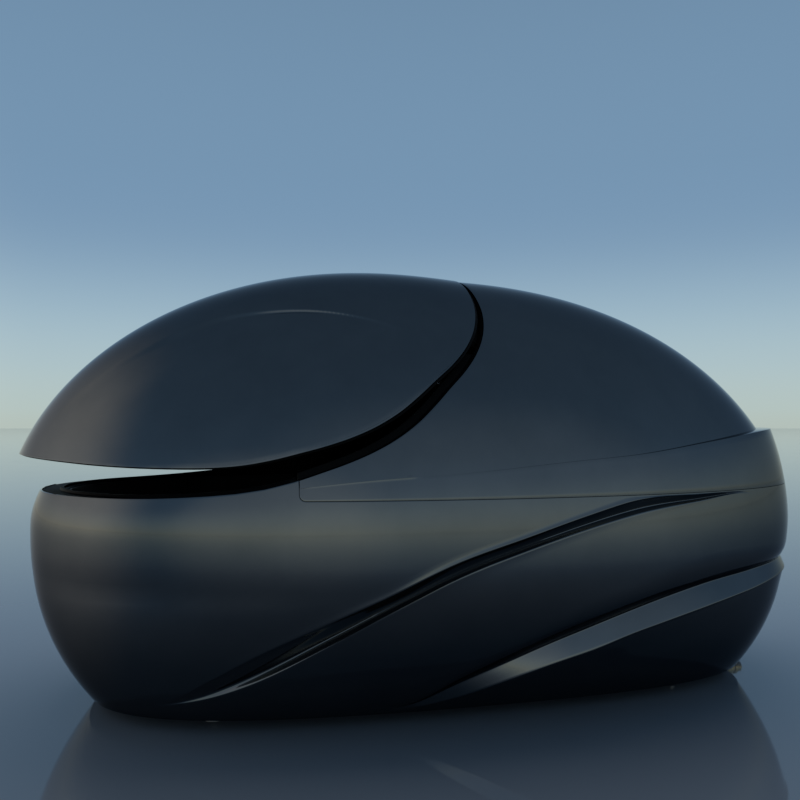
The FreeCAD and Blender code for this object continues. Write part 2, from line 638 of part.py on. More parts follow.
# ---------------------------------------------------------------- frame under the basin
def square_tube(x0, x1, y0, y1):
    """A square steel tube lying along its longer side."""
    outside, w = box(x0, x1, y0, y1, RAIL_LOW, RAIL_HIGH), RAIL_WALL
    if x1 - x0 > y1 - y0:
        return outside.cut(box(x0 - 1, x1 + 1, y0 + w, y1 - w, RAIL_LOW + w, RAIL_HIGH - w))
    return outside.cut(box(x0 + w, x1 - w, y0 - 1, y1 + 1, RAIL_LOW + w, RAIL_HIGH - w))


def frame_rails():
    holes = [rod(6.1, V(x, RAIL_Y, RAIL_LOW - 5), V(x, RAIL_Y, RAIL_LOW + 5)) for x in FOOT_X]
    return pair(square_tube(-900, 940, RAIL_Y - 20, RAIL_Y + 20).cut(holes))


def frame_cross_members():
    return Part.makeCompound([square_tube(x - 20, x + 20, -RAIL_Y + 20, RAIL_Y - 20) for x in CROSS_X])


def cradles():
    """Upright plates on the frame, cut to the basin's underside."""
    plates = []
    for x in CROSS_X:
        plate = box(x - 4, x + 4, -430, 430, RAIL_HIGH, 215).cut(basin_solid())
        plates.append(plate.cut([rod(24, V(x - 10, y, 122), V(x + 10, y, 122)) for y in (-200, 0, 200)]))
    return Part.makeCompound(plates)


def outriggers():
    """Brackets that join the frame to the foot flange of the shell."""
    shapes = []
    for x, y in ((-600, 400), (0, 440), (600, 400)):
        plate = box(x - 25, x + 25, RAIL_Y + 20, y, RAIL_LOW, RAIL_LOW + 4)
        drop = box(x - 25, x + 25, y - 4, y, SHELL_BOTTOM_Z + 5, RAIL_LOW + 4)
        toe = box(x - 25, x + 25, y - 4, y + 37, SHELL_BOTTOM_Z + 5, SHELL_BOTTOM_Z + 8)
        web = box(x - 2, x + 2, RAIL_Y + 20, y - 30, RAIL_LOW + 4, RAIL_LOW + 24)
        shapes += both_sides(plate.fuse([drop, toe, web]))
    return Part.makeCompound(shapes)


def foot_places():
    return [(x, y) for x in FOOT_X for y in (-RAIL_Y, RAIL_Y)]


def levelling_feet():
    feet = []
    for x, y in foot_places():
        pad = Part.makeCone(30, 24, 10, V(x, y, 0)).fuse(rod(10, V(x, y, 8), V(x, y, 18)))
        feet.append(pad.fuse(rod(6, V(x, y, 10), V(x, y, RAIL_LOW + 22))))
    return Part.makeCompound(feet)


def foot_nuts():
    nuts = []
    for x, y in foot_places():
        corners = [V(x + 11 * math.cos(math.radians(60 * i)), y + 11 * math.sin(math.radians(60 * i)),
                     RAIL_LOW - 10) for i in range(7)]
        nut = Part.Face(Part.makePolygon(corners)).extrude(V(0, 0, 10))
        nuts.append(nut.cut(rod(6.02, V(x, y, 30), V(x, y, 80))))
    return Part.makeCompound(nuts)


def heater_mats():
    mats = []
    for start, end in ((-760, -320), (-270, 230), (270, 540)):
        mat = box(start, end, -330, 330, 147, 150)
        mats.append(mat.cut([rod(68, V(x, 0, 100), V(x, 0, 160)) for x in SPEAKER_X]))
    return Part.makeCompound(mats)


# ---------------------------------------------------------------- plant behind the basin
def plant_tray():
    """A plate across the frame's rear that the plant stands on."""
    low, high = RAIL_HIGH, RAIL_HIGH + 3
    tray = box(860, 1050, -230, 230, low, high)
    tongue = box(1040, 1070, -100, 200, low, high)
    arm = box(890, 930, -RAIL_Y - 20, RAIL_Y + 20, low, high)
    holes = [rod(PIPE + 3, V(BRANCH_X, BRANCH_Y, 60), V(BRANCH_X, BRANCH_Y, 160)),
             rod(8.1, V(GLAND_X, GLAND_Y, 60), V(GLAND_X, GLAND_Y, 160))]
    return tray.fuse([tongue, arm]).cut(holes)


def pump_volute():
    """The pump's wet end: inlet towards +Y, outlet upwards."""
    x, z = PUMP_X, PUMP_Z
    volute = rod(62, V(x, -40, z), V(x, 20, z)).fuse(rod(68, V(x, -40, z), V(x, -30, z)))
    inlet = rod(24, V(x, 20, z), V(x, 46, z))
    outlet = rod(22, V(x, -10, z), V(x, -10, z + 92))
    foot = box(x - 50, x + 50, -40, -28, RAIL_HIGH + 3, z)
    bores = [rod(SOCKET, V(x, 26, z), V(x, 60, z)), rod(SOCKET, V(x, -10, z + 72), V(x, -10, z + 99))]
    return volute.fuse([inlet, foot, outlet]).cut(bores)


def pump_motor():
    x, z = PUMP_X, PUMP_Z
    can = rod(54, V(x, -200, z), V(x, -40, z))
    ribs = [rod(58, V(x, y, z), V(x, y + 3, z)) for y in range(-185, -60, 14)]
    foot = box(x - 45, x + 45, -150, -90, RAIL_HIGH + 3, z - 40)
    return can.fuse(ribs + [foot, rod(57, V(x, -215, z), V(x, -198, z))])


def filter_housing():
    c = V(FILTER_X, FILTER_Y, 0)
    can = rod(64, c + Z * 190, c + Z * 470).fuse(rod(68, c + Z * 452, c + Z * 470))
    stand = tube(48, 40, c + Z * (RAIL_HIGH + 3), c + Z * 191)
    ports = [rod(SOCKET, V(PLANT_X, FILTER_Y - 80, z), V(PLANT_X, FILTER_Y - 50, z)) for z in (300, UV_Z)]
    return can.cut(rod(58, c + Z * 198, c + Z * 480)).fuse(stand).cut(ports)


def filter_cap():
    c = V(FILTER_X, FILTER_Y, 0)
    knobs = []
    for i in range(4):
        arm = V(60 * math.cos(math.radians(90 * i + 45)), 60 * math.sin(math.radians(90 * i + 45)), 0)
        knobs.append(rod(8, c + arm + Z * 470, c + arm + Z * 496))
    crown = Part.makeCone(64, 40, 26, c + Z * 482)
    return crown.fuse([rod(70, c + Z * 470, c + Z * 482)] + knobs)


def filter_cartridge():
    c = V(FILTER_X, FILTER_Y, 0)
    pleats = []
    for i in range(16):
        fin = box(44, 55, -2.5, 2.5, 200, 464)
        fin.rotate(V(0, 0, 0), Z, i * 22.5)
        fin.translate(c)
        pleats.append(fin)
    return rod(46, c + Z * 200, c + Z * 464).fuse(pleats).cut(rod(18, c + Z * 190, c + Z * 480))


def uv_unit():
    """The ultraviolet lamp's steel chamber, with legs to the tray."""
    x, z = PLANT_X, UV_Z
    caps = [rod(42, V(x, y, z), V(x, y + 16, z)) for y in (-340, 34)]
    legs = [box(x - 14, x + 14, -225, -220, RAIL_HIGH + 3, z)]
    ports = [rod(SOCKET, V(x, -345, z), V(x, -330, z)), rod(SOCKET, V(x, 40, z), V(x, 60, z))]
    return rod(36, V(x, -330, z), V(x, 40, z)).fuse(caps + legs).cut(ports)


def water_heater():
    """A flow heater, with its wiring box on top."""
    x, z = PLANT_X, HEATER_Z
    caps = [rod(35, V(x, y, z), V(x, y + 14, z)) for y in (-340, 14)]
    wiring = box(x - 8, x + 48, -220, -90, z + 20, z + 72)
    saddle = box(x - 12, x + 12, -200, -190, UV_Z + 36.2, z)
    ports = [rod(SOCKET, V(x, -345, z), V(x, -330, z)), rod(SOCKET, V(x, 18, z), V(x, 40, z))]
    return rod(30, V(x, -330, z), V(x, 20, z)).fuse(caps + [wiring, saddle]).cut(ports)


def control_box():
    """The electrical box on the rear wall, with cooling ribs towards the basin."""
    case = box(1096, 1176, -110, 110, 430, 560)
    ribs = [box(1088, 1096, y - 3, y + 3, 435, 555) for y in range(-100, 101, 25)]
    mount = box(1176, 1290, -70, 70, 440, 545).common(inner_body())
    return case.fuse(ribs + [mount])


def cable_gland():
    """The mains inlet in the plant tray, pointing at the floor, with an open bore."""
    at = V(GLAND_X, GLAND_Y, 0)
    barrel = rod(8.0, at + Z * 84, at + Z * 109)
    collars = [rod(13, at + Z * 84, at + Z * RAIL_HIGH), rod(12, at + Z * (RAIL_HIGH + 3), at + Z * 107)]
    return barrel.fuse(collars).cut(rod(GLAND_BORE, at + Z * 70, at + Z * 120))


def suction_pipe():
    """From the sump down and back to the drain valve."""
    route = [V(SUMP_X, 0, 112), V(SUMP_X, 0, DRAIN_Z), V(VALVE_X - 24, 0, DRAIN_Z)]
    return pipe(route, 30.0, PIPE, PIPE_BORE)


def pump_branch():
    """A saddle on the suction pipe and the pipe that rises from it to the pump."""
    x, y = BRANCH_X, BRANCH_Y
    saddle = rod(PIPE + 5, V(x - 24, 0, DRAIN_Z), V(x + 24, 0, DRAIN_Z))
    saddle = saddle.fuse(rod(PIPE + 5, V(x, 0, DRAIN_Z), V(x, 34, DRAIN_Z)))
    riser = pipe([V(x, 20, DRAIN_Z), V(x, y, DRAIN_Z), V(x, y, PUMP_Z), V(PUMP_X, y, PUMP_Z),
                  V(PUMP_X, 28, PUMP_Z)], 26.0, PIPE, PIPE_BORE)
    return saddle.fuse(riser).cut(rod(PIPE + 0.05, V(x - 40, 0, DRAIN_Z), V(x + 40, 0, DRAIN_Z)))


def plant_pipes():
    """Pump to filter, filter to ultraviolet unit, and on to the heater."""
    x, end = PLANT_X, FILTER_Y - 58
    first = pipe([V(x, -10, PUMP_Z + 74), V(x, -10, 300), V(x, end, 300)], 26.0, PIPE, PIPE_BORE)
    second = tube(PIPE, PIPE_BORE, V(x, 42, UV_Z), V(x, end, UV_Z))
    third = pipe([V(x, -332, UV_Z), V(x, -385, UV_Z), V(x, -385, HEATER_Z), V(x, -332, HEATER_Z)],
                 26.0, PIPE, PIPE_BORE)
    return Part.makeCompound([first, second, third])


def return_pipe():
    """The warm return: from the heater, round the near side to the front, and down to the two jets."""
    x, z, y = PLANT_X, HEATER_Z, JET_Y + 22
    corners = [V(x, 18, z), V(x, 70, z), V(RETURN_X, 70, RETURN_Z)]
    corners += [V(px, py, RETURN_Z) for px, py in RETURN_ROUTE]
    front = V(RETURN_FRONT_X, 0, 0)
    run = pipe(corners + [front + Z * RETURN_Z], 40.0, PIPE, PIPE_BORE)
    bar = rod(PIPE, front + V(0, -y, JET_Z), front + V(0, y, JET_Z))
    drop = rod(PIPE + 1, front + Z * JET_Z, front + Z * (RETURN_Z + PIPE + 1))
    stubs = [rod(10.9, V(RETURN_FRONT_X, side, JET_Z), V(JET_X - 10, side, JET_Z)) for side in (-JET_Y, JET_Y)]
    return run.fuse([bar, drop] + stubs)


def drain_grommet():
    """A rubber ring that closes the shell round the outlet pipe, with a lip outside."""
    ring = rod(GROMMET_RADIUS - 0.1, V(1080, 0, DRAIN_Z), V(1114, 0, DRAIN_Z))
    lip = rod(GROMMET_RADIUS + 3.5, V(1086, 0, DRAIN_Z), V(1116, 0, DRAIN_Z)).cut(body())
    return ring.fuse(lip).cut(rod(SOCKET, V(1000, 0, DRAIN_Z), V(1200, 0, DRAIN_Z)))


def drain_valve_body():
    """A ball valve's body: a socket for the pipe, an open spout and a bonnet for the stem."""
    x, z = VALVE_X, DRAIN_Z
    block = rod(24.5, V(x - 32, 0, z), V(x + 32, 0, z))
    collars = [rod(27, V(x - 32, 0, z), V(x - 22, 0, z)), rod(27, V(x + 22, 0, z), V(x + 32, 0, z))]
    spout = rod(20, V(x + 30, 0, z), V(x + SPOUT, 0, z))
    bonnet = rod(9, V(x, 0, z), V(x, 0, z + 31))
    bores = [rod(SOCKET, V(x - 60, 0, z), V(x - 22, 0, z)),
             rod(SPOUT_BORE, V(x + SPOUT - SPOUT_DEPTH, 0, z), V(x + 100, 0, z)),
             rod(12, V(x - 30, 0, z), V(x + 30, 0, z)),
             Part.makeSphere(20.06, V(x, 0, z)), rod(4.06, V(x, 0, z), V(x, 0, z + 60))]
    return block.fuse(collars + [spout, bonnet]).cut(bores)


def drain_valve_lever():
    """Ball, stem and lever; the lever stands across the pipe when the valve is shut."""
    x, z = VALVE_X, DRAIN_Z
    ball = Part.makeSphere(20.0, V(x, 0, z)).cut(rod(12, V(x, -40, z), V(x, 40, z)))
    stem = rod(4.0, V(x, 0, z + 16), V(x, 0, z + 40))
    arm = box(x - 8, x + 8, -10, 78, z + 33, z + 37)
    grip = box(x - 9, x + 9, 30, 76, z + 31.5, z + 38.5).fuse(rod(9, V(x, 76, z + 31.5), V(x, 76, z + 38.5)))
    return ball.fuse([stem, arm, grip])


# ---------------------------------------------------------------- nodes
def left_and_right(make):
    """One node that holds a piece of each side."""
    return lambda: Part.makeCompound([make(-1), make(1)])


NODES = {
    "tub_shell": tub_shell,
    "basin": basin,
    "rim_gasket": rim_gasket,
    "rim_lip": rim_lip,
    "canopy_shell": canopy_shell,
    "canopy_liner": canopy_liner,
    "canopy_edge_seal": canopy_edge_seal,
    "parting_bolts": parting_bolts,
    "lid_shell": lid_shell,
    "lid_liner": lid_liner,
    "lid_edge_seal": lid_edge_seal,
    "lid_handle": lid_handle,
    "suction_sump": suction_sump,
    "suction_grille": suction_grille,
    "return_jets": left_and_right(return_jet),
    "light_housings": left_and_right(light_housing),
    "light_bezels": left_and_right(light_bezel),
    "light_lenses": left_and_right(light_lens),
    "hinge_brackets": left_and_right(hinge_bracket),
    "hinge_pins": left_and_right(hinge_pin),
    "hinge_bushes": left_and_right(hinge_bush),
    "strut_posts_body": left_and_right(strut_post_body),
    "strut_posts_lid": left_and_right(strut_post_lid),
    "button_bezels": left_and_right(button_bezel),
    "speakers": speakers,
    "vent_duct": vent_duct,
    "vent_grille": vent_grille,
    "fan_rotor": fan_rotor,
    "frame_rails": frame_rails,
    "frame_cross_members": frame_cross_members,
    "cradles": cradles,
    "outriggers": outriggers,
    "levelling_feet": levelling_feet,
    "foot_nuts": foot_nuts,
    "heater_mats": heater_mats,
    "plant_tray": plant_tray,
    "pump_volute": pump_volute,
    "pump_motor": pump_motor,
    "filter_housing": filter_housing,
    "filter_cap": filter_cap,
    "filter_cartridge": filter_cartridge,
    "uv_unit": uv_unit,
    "water_heater": water_heater,
    "control_box": control_box,
    "cable_gland": cable_gland,
    "suction_pipe": suction_pipe,
    "pump_branch": pump_branch,
    "plant_pipes": plant_pipes,
    "return_pipe": return_pipe,
    "drain_grommet": drain_grommet,
    "drain_valve_body": drain_valve_body,
    "drain_valve_lever": drain_valve_lever,
}

BOTH_SIDES = {
    "hinge_arm": hinge_arm,
    "strut_cylinder": strut_cylinder,
    "strut_rod": strut_rod,
    "push_button": push_button,
}


def main():
    os.makedirs("parts", exist_ok=True)
    makers = dict(NODES)
    for name, make in BOTH_SIDES.items():
        makers[name + "_left"] = lambda make=make: make(-1)
        makers[name + "_right"] = lambda make=make: make(1)
    for name, make in makers.items():
        shape = make()
        shape.exportStep(f"parts/{name}.step")
        print(f"{name}: {len(shape.Solids)} solids, valid {shape.isValid()}", flush=True)


main()
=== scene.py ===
# Flotation tank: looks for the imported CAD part, in metres, +X to the rear, +Z up.
import bpy
import bmesh
import math
import numpy as np
from mathutils import Matrix, Vector


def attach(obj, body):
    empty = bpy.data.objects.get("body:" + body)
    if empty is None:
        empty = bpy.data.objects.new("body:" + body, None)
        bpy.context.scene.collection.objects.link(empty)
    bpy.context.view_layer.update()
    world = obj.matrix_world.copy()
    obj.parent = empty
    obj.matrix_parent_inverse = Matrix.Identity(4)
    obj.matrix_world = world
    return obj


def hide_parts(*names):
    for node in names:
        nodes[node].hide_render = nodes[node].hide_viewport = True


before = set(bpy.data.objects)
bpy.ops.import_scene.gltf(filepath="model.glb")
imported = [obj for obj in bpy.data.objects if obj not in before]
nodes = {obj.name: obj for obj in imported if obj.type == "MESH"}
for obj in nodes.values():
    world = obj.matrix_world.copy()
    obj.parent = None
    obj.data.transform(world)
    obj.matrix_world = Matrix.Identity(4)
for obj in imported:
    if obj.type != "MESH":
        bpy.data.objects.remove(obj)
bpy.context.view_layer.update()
print("frame loaded:", len(nodes), "nodes")

# the pod's own sizes, as in the part
pod = {
    "stationX": 0.014,           # widest cross-section of the tub
    "front": 1.252,              # from there to the front tip
    "rear": 1.2558,
    "side": 0.7294,
    "footZ": 0.040,
    "widest": {"front": 0.535, "rear": 0.535, "side": 0.465},
    "rimZ": 0.636,
    "tuck": {"front": (0.172, 2.3), "rear": (0.190, 1.7), "side": (0.235, 2.0)},
    "lean": {"front": 2.52, "rear": 0.65, "side": 0.36},
    "fullness": (0.613, 0.766),  # of the plan at the waist and at the foot
    "fuller": (0.400, 0.360),    # below this height, and over this height, the plan fills out
    "hornX": -0.505,
    "hornRadius": 0.015,
    "mouth": (1.150, 1.000, 0.655),   # front, rear, side of the basin's opening
}
dome = {
    "x": -0.013,
    "base": 0.520,
    "height": 0.7917,
    "front": 1.231,
    "rear": 1.284,
    "side": 0.728,
    "planPower": 2.2,
    "frontPower": 1.77,
    "rearPower": 1.82,
    "handY": 0.613,
    "handZ": 0.455,
}
hinge = {"x": 0.107, "z": 1.287, "ajar": 4.4}
halvings = 48                    # enough for a search to reach the last digit

# where lid and canopy part, and the collar's top edge, seen from the side
seamLine = [(-1.0, 0.636), (-0.9303, 0.6368), (-0.8606, 0.639), (-0.7909, 0.6427),
            (-0.7214, 0.6476), (-0.652, 0.6545), (-0.5832, 0.6658), (-0.5157, 0.6834),
            (-0.4495, 0.7054), (-0.3837, 0.7286), (-0.3195, 0.7557), (-0.2581, 0.7886),
            (-0.201, 0.8286), (-0.149, 0.875), (-0.0991, 0.9237), (-0.0485, 0.9718),
            (-0.0036, 1.025), (0.0315, 1.0852), (0.0532, 1.1512), (0.0617, 1.2204), (0.066, 1.29)]
collarLine = [(-0.62, 0.655), (-0.34, 0.685), (-0.08, 0.703), (0.225, 0.730), (0.42, 0.745),
              (0.70, 0.779), (0.964, 0.807), (1.264, 0.822)]


# ---- curves
def spline(xs, ys, at):
    # a smooth curve through points
    xs, ys, at = np.asarray(xs, float), np.asarray(ys, float), np.asarray(at, float)
    slope = np.gradient(ys, xs)
    i = np.clip(np.searchsorted(xs, at) - 1, 0, len(xs) - 2)
    h = xs[i + 1] - xs[i]
    s = np.clip((at - xs[i]) / h, 0, 1)
    rise = h * (s * (1 - s) ** 2 * slope[i] + s * s * (s - 1) * slope[i + 1])
    return (1 + 2 * s) * (1 - s) ** 2 * ys[i] + s * s * (3 - 2 * s) * ys[i + 1] + rise


def lengths(*axes):
    # distance along a line of points
    steps = np.sqrt(sum(np.diff(a) ** 2 for a in axes))
    return np.concatenate([[0.0], np.cumsum(steps)])


def solve(rising, low, high):
    # where a rising function passes through zero
    for _ in range(halvings):
        middle = (low + high) / 2
        below = rising(middle) < 0
        low, high = np.where(below, middle, low), np.where(below, high, middle)
    return (low + high) / 2


def ease(s):
    s = np.clip(s, 0, 1)
    return s * s * (3 - 2 * s)


# ---- the tub's body surface
def halfSize(side, z, inset=0.0):
    tuck, power = pod["tuck"][side]
    widest = pod["widest"][side]
    drop = np.clip((widest - z) / (widest - pod["footZ"]), 0, None)
    climb = np.clip(z - widest, 0, None)
    return pod[side] - tuck * drop ** power - pod["lean"][side] * climb ** 2 - inset


def planPoint(turn, front, rear, side, k):
    # near side of a level oval: turn 0 at the rear tip, 1 at the widest station, 2 at the front tip
    t = np.where(turn <= 1, turn, 2 - turn)
    reach = np.where(turn <= 1, rear, -front)
    along = (1 - t) ** 3 + 3 * t * (1 - t) ** 2 + 3 * t * t * (1 - t) * k
    across = 3 * t * (1 - t) ** 2 * k + 3 * t * t * (1 - t) + t ** 3
    return pod["stationX"] + reach * along, -side * across


def bodyPoint(turn, z, inset=0.0):
    low, high = pod["fullness"]
    top, over = pod["fuller"]
    k = low + (high - low) * np.clip((top - z) / over, 0, 1)
    sizes = [halfSize(side, z, inset) for side in ("front", "rear", "side")]
    return planPoint(turn, *sizes, k)


def bodyInward(turn, z):
    # level direction into the body
    ax, ay = bodyPoint(np.clip(turn - 1e-4, 0, 2), z)
    bx, by = bodyPoint(np.clip(turn + 1e-4, 0, 2), z)
    size = np.hypot(bx - ax, by - ay)
    return (by - ay) / size, (ax - bx) / size


def turnAt(x, z):
    return solve(lambda t: x - bodyPoint(t, z)[0], np.zeros_like(x), np.full_like(x, 2.0))


# ---- the domed top surface
archPlace = np.linspace(0, 1, 4001)
archAcross = ((1 - archPlace) ** 3 + 3 * archPlace * (1 - archPlace) ** 2
              + 3 * archPlace ** 2 * (1 - archPlace) * dome["handY"])
archUp = (3 * archPlace * (1 - archPlace) ** 2 * dome["handZ"]
          + 3 * archPlace ** 2 * (1 - archPlace) + archPlace ** 3)


def archSize(x, inset=0.0):
    ahead = x < dome["x"]
    reach = np.where(ahead, dome["front"], dome["rear"]) - inset
    power = np.where(ahead, dome["frontPower"], dome["rearPower"])
    s = np.clip(np.abs(x - dome["x"]) / reach, 0, 1) ** (dome["planPower"] / 2)
    c = np.sqrt(np.clip(1 - s * s, 1e-9, 1))
    width, height = dome["side"] - inset, dome["height"] - inset
    return width * c ** (2 / dome["planPower"]), height * c ** (2 / power)


def domePoint(x, t, inset=0.0):
    # t runs up the near half of an arch, 0 at its base and 1 on the centre line
    width, height = archSize(x, inset)
    across, up = np.interp(t, archPlace, archAcross), np.interp(t, archPlace, archUp)
    return x, -width * across, dome["base"] + height * up


def placeAtHeight(x, z, inset=0.0):
    return np.interp((z - dome["base"]) / archSize(x, inset)[1], archUp, archPlace)


def tipAtHeight(z, inset, ahead):
    # how far the dome reaches at that height
    end = dome["x"] + (-dome["front"] if ahead else dome["rear"]) * 0.9999
    start = dome["x"]
    for _ in range(halvings):
        middle = (start + end) / 2
        if dome["base"] + archSize(np.array(middle), inset)[1] > z:
            start = middle
        else:
            end = middle
    return start


topSteps = 59                    # points of the seam over the top, from its last height on


def seamCurve(dx, dz, startX, inset):
    # the seam on the near side, from startX up to the centre line
    px, pz = np.array(seamLine).T
    run = lengths(px, pz)
    fine = np.linspace(0, run[-1], 400)
    x, z = spline(run, px, fine) + dx, spline(run, pz, fine) + dz
    keep = x > startX
    startZ = np.interp(startX, x, z)
    x, z = np.concatenate([[startX], x[keep]]), np.concatenate([[startZ], z[keep]])
    t = placeAtHeight(x, z, inset)
    lastT = np.linspace(t[-1], 1, topSteps + 1)[1:]
    return np.concatenate([x, np.full(topSteps, x[-1])]), np.concatenate([t, lastT])


def resample(x, t, inset, shares):
    run = lengths(*domePoint(x, t, inset))
    at = np.asarray(shares) * run[-1]
    return np.interp(at, run, x), np.interp(at, run, t)


# ---- pieces
def gridMesh(place):
    # a grid of faces whose corners lie at place[column, row]
    columns, rows = place.shape[0] - 1, place.shape[1] - 1
    bm = bmesh.new()
    rowLayer = bm.verts.layers.int.new("row")
    bmesh.ops.create_grid(bm, x_segments=columns, y_segments=rows, size=1)
    for v in bm.verts:
        i, j = round((v.co.x + 1) / 2 * columns), round((v.co.y + 1) / 2 * rows)
        v.co = Vector(place[i, j])
        v[rowLayer] = j
    return bm


def bothSides(bm, merge=1e-5):
    # adds the far side, closes the centre line and turns all faces the same way
    bmesh.ops.mirror(bm, geom=bm.verts[:] + bm.edges[:] + bm.faces[:], axis="Y",
                     matrix=Matrix.Identity(4), merge_dist=merge)
    bmesh.ops.remove_doubles(bm, verts=bm.verts[:], dist=merge)
    bmesh.ops.recalc_face_normals(bm, faces=bm.faces[:])


def roundRows(bm, rows, radius, segments=3):
    # rounds the edges that run along a row
    layer = bm.verts.layers.int["row"]
    edges = [e for e in bm.edges if e.verts[0][layer] == e.verts[1][layer]
             and e.verts[0][layer] in rows and len(e.link_faces) == 2]
    bmesh.ops.bevel(bm, geom=edges, offset=radius, segments=segments, profile=0.5,
                    affect="EDGES", material=-1, clamp_overlap=True)


def faceOutward(bm, centre):
    # away from a centre, over the whole surface
    total = 0.0
    for f in bm.faces:
        total += f.calc_area() * f.normal.dot(f.calc_center_median() - centre)
    if total < 0:
        bmesh.ops.reverse_faces(bm, faces=bm.faces[:])


def finishPiece(bm, name, body, replaced, material, thickness, sharp=40):
    # edges sharper than that angle stay hard
    for e in bm.edges:
        e.smooth = len(e.link_faces) == 2 and e.calc_face_angle(0) < math.radians(sharp)
    mesh = bpy.data.meshes.new(name)
    for f in bm.faces:
        f.smooth = True
    bm.to_mesh(mesh)
    bm.free()
    piece = bpy.data.objects.new(name, mesh)
    bpy.context.scene.collection.objects.link(piece)
    piece.data.materials.append(material)
    wall = piece.modifiers.new("wall", "SOLIDIFY")
    wall.thickness = thickness
    wall.offset = -1
    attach(piece, body)
    if replaced:
        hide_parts(*replaced)
    print("made", name, len(mesh.polygons), "faces")
    return piece


# ---- materials
def newGroup(name, inputs, outputs):
    group = bpy.data.node_groups.new(name, "ShaderNodeTree")
    for label, kind, value in inputs:
        socket = group.interface.new_socket(label, in_out="INPUT", socket_type=kind)
        if value is not None:
            socket.default_value = value
    for label, kind in outputs:
        group.interface.new_socket(label, in_out="OUTPUT", socket_type=kind)
    return group, group.nodes.new("NodeGroupInput"), group.nodes.new("NodeGroupOutput")


def node(tree, kind, values=None, **settings):
    made = tree.nodes.new(kind)
    for key, value in settings.items():
        setattr(made, key, value)
    for key, value in (values or {}).items():
        made.inputs[key].default_value = value
    return made


def makeRipple():
    # the slow waviness and fine orange peel of a sprayed gel coat
    inputs = [("Position", "NodeSocketVector", None), ("Peel", "NodeSocketFloat", 0.02),
              ("Wave", "NodeSocketFloat", 0.05)]
    outputs = [("Normal", "NodeSocketVector"), ("Haze", "NodeSocketFloat")]
    group, source, out = newGroup("gelCoat", inputs, outputs)
    link = group.links.new
    peel = node(group, "ShaderNodeTexNoise", {"Scale": 420.0, "Detail": 2.0, "Roughness": 0.5})
    wave = node(group, "ShaderNodeTexNoise", {"Scale": 3.2, "Detail": 1.0})
    haze = node(group, "ShaderNodeTexNoise", {"Scale": 5.5, "Detail": 5.0, "Roughness": 0.62})
    for texture in (peel, wave, haze):
        link(source.outputs["Position"], texture.inputs["Vector"])
    first = node(group, "ShaderNodeBump", {"Distance": 0.02})
    second = node(group, "ShaderNodeBump", {"Distance": 0.0004})
    link(source.outputs["Wave"], first.inputs["Strength"])
    link(wave.outputs["Fac"], first.inputs["Height"])
    link(source.outputs["Peel"], second.inputs["Strength"])
    link(peel.outputs["Fac"], second.inputs["Height"])
    link(first.outputs["Normal"], second.inputs["Normal"])
    link(second.outputs["Normal"], out.inputs["Normal"])
    link(haze.outputs["Fac"], out.inputs["Haze"])
    return group


def makeGrain():
    # the fine leathery texture of a moulded surface, with slow changes of tone
    inputs = [("Position", "NodeSocketVector", None), ("Scale", "NodeSocketFloat", 900.0),
              ("Strength", "NodeSocketFloat", 0.2)]
    outputs = [("Normal", "NodeSocketVector"), ("Tone", "NodeSocketFloat")]
    group, source, out = newGroup("mouldedGrain", inputs, outputs)
    link = group.links.new
    cells = node(group, "ShaderNodeTexVoronoi", feature="SMOOTH_F1")
    tone = node(group, "ShaderNodeTexNoise", {"Scale": 9.0, "Detail": 6.0, "Roughness": 0.6})
    link(source.outputs["Position"], cells.inputs["Vector"])
    link(source.outputs["Scale"], cells.inputs["Scale"])
    link(source.outputs["Position"], tone.inputs["Vector"])
    bump = node(group, "ShaderNodeBump", {"Distance": 0.0005})
    link(source.outputs["Strength"], bump.inputs["Strength"])
    link(cells.outputs["Distance"], bump.inputs["Height"])
    link(bump.outputs["Normal"], out.inputs["Normal"])
    link(tone.outputs["Fac"], out.inputs["Tone"])
    return group


def makeBrushed():
    # fine lines left by a belt or a lathe, with a few cloudy patches
    inputs = [("Position", "NodeSocketVector", None), ("Strength", "NodeSocketFloat", 0.1)]
    outputs = [("Normal", "NodeSocketVector"), ("Lines", "NodeSocketFloat"),
               ("Cloud", "NodeSocketFloat")]
    group, source, out = newGroup("brushedMetal", inputs, outputs)
    link = group.links.new
    stretch = node(group, "ShaderNodeMapping", {"Scale": (30.0, 1800.0, 1800.0)})
    lines = node(group, "ShaderNodeTexNoise", {"Scale": 1.0, "Detail": 2.0})
    cloud = node(group, "ShaderNodeTexNoise", {"Scale": 25.0, "Detail": 4.0})
    link(source.outputs["Position"], stretch.inputs["Vector"])
    link(stretch.outputs["Vector"], lines.inputs["Vector"])
    link(source.outputs["Position"], cloud.inputs["Vector"])
    bump = node(group, "ShaderNodeBump", {"Distance": 0.0002})
    link(source.outputs["Strength"], bump.inputs["Strength"])
    link(lines.outputs["Fac"], bump.inputs["Height"])
    link(bump.outputs["Normal"], out.inputs["Normal"])
    link(lines.outputs["Fac"], out.inputs["Lines"])
    link(cloud.outputs["Fac"], out.inputs["Cloud"])
    return group


gelCoat, mouldedGrain, brushedMetal = makeRipple(), makeGrain(), makeBrushed()


def newMaterial(name):
    material = bpy.data.materials.new(name)
    material.use_nodes = True
    tree = material.node_tree
    shader = tree.nodes["Principled BSDF"]
    position = tree.nodes.new("ShaderNodeTexCoord").outputs["Object"]
    return material, tree, shader, position


def placeGroup(tree, group, position, **values):
    made = tree.nodes.new("ShaderNodeGroup")
    made.node_tree = group
    tree.links.new(position, made.inputs["Position"])
    for key, value in values.items():
        made.inputs[key].default_value = value
    return made


mixColours = {"first": 6, "second": 7, "result": 2}      # a colour Mix node's socket numbers


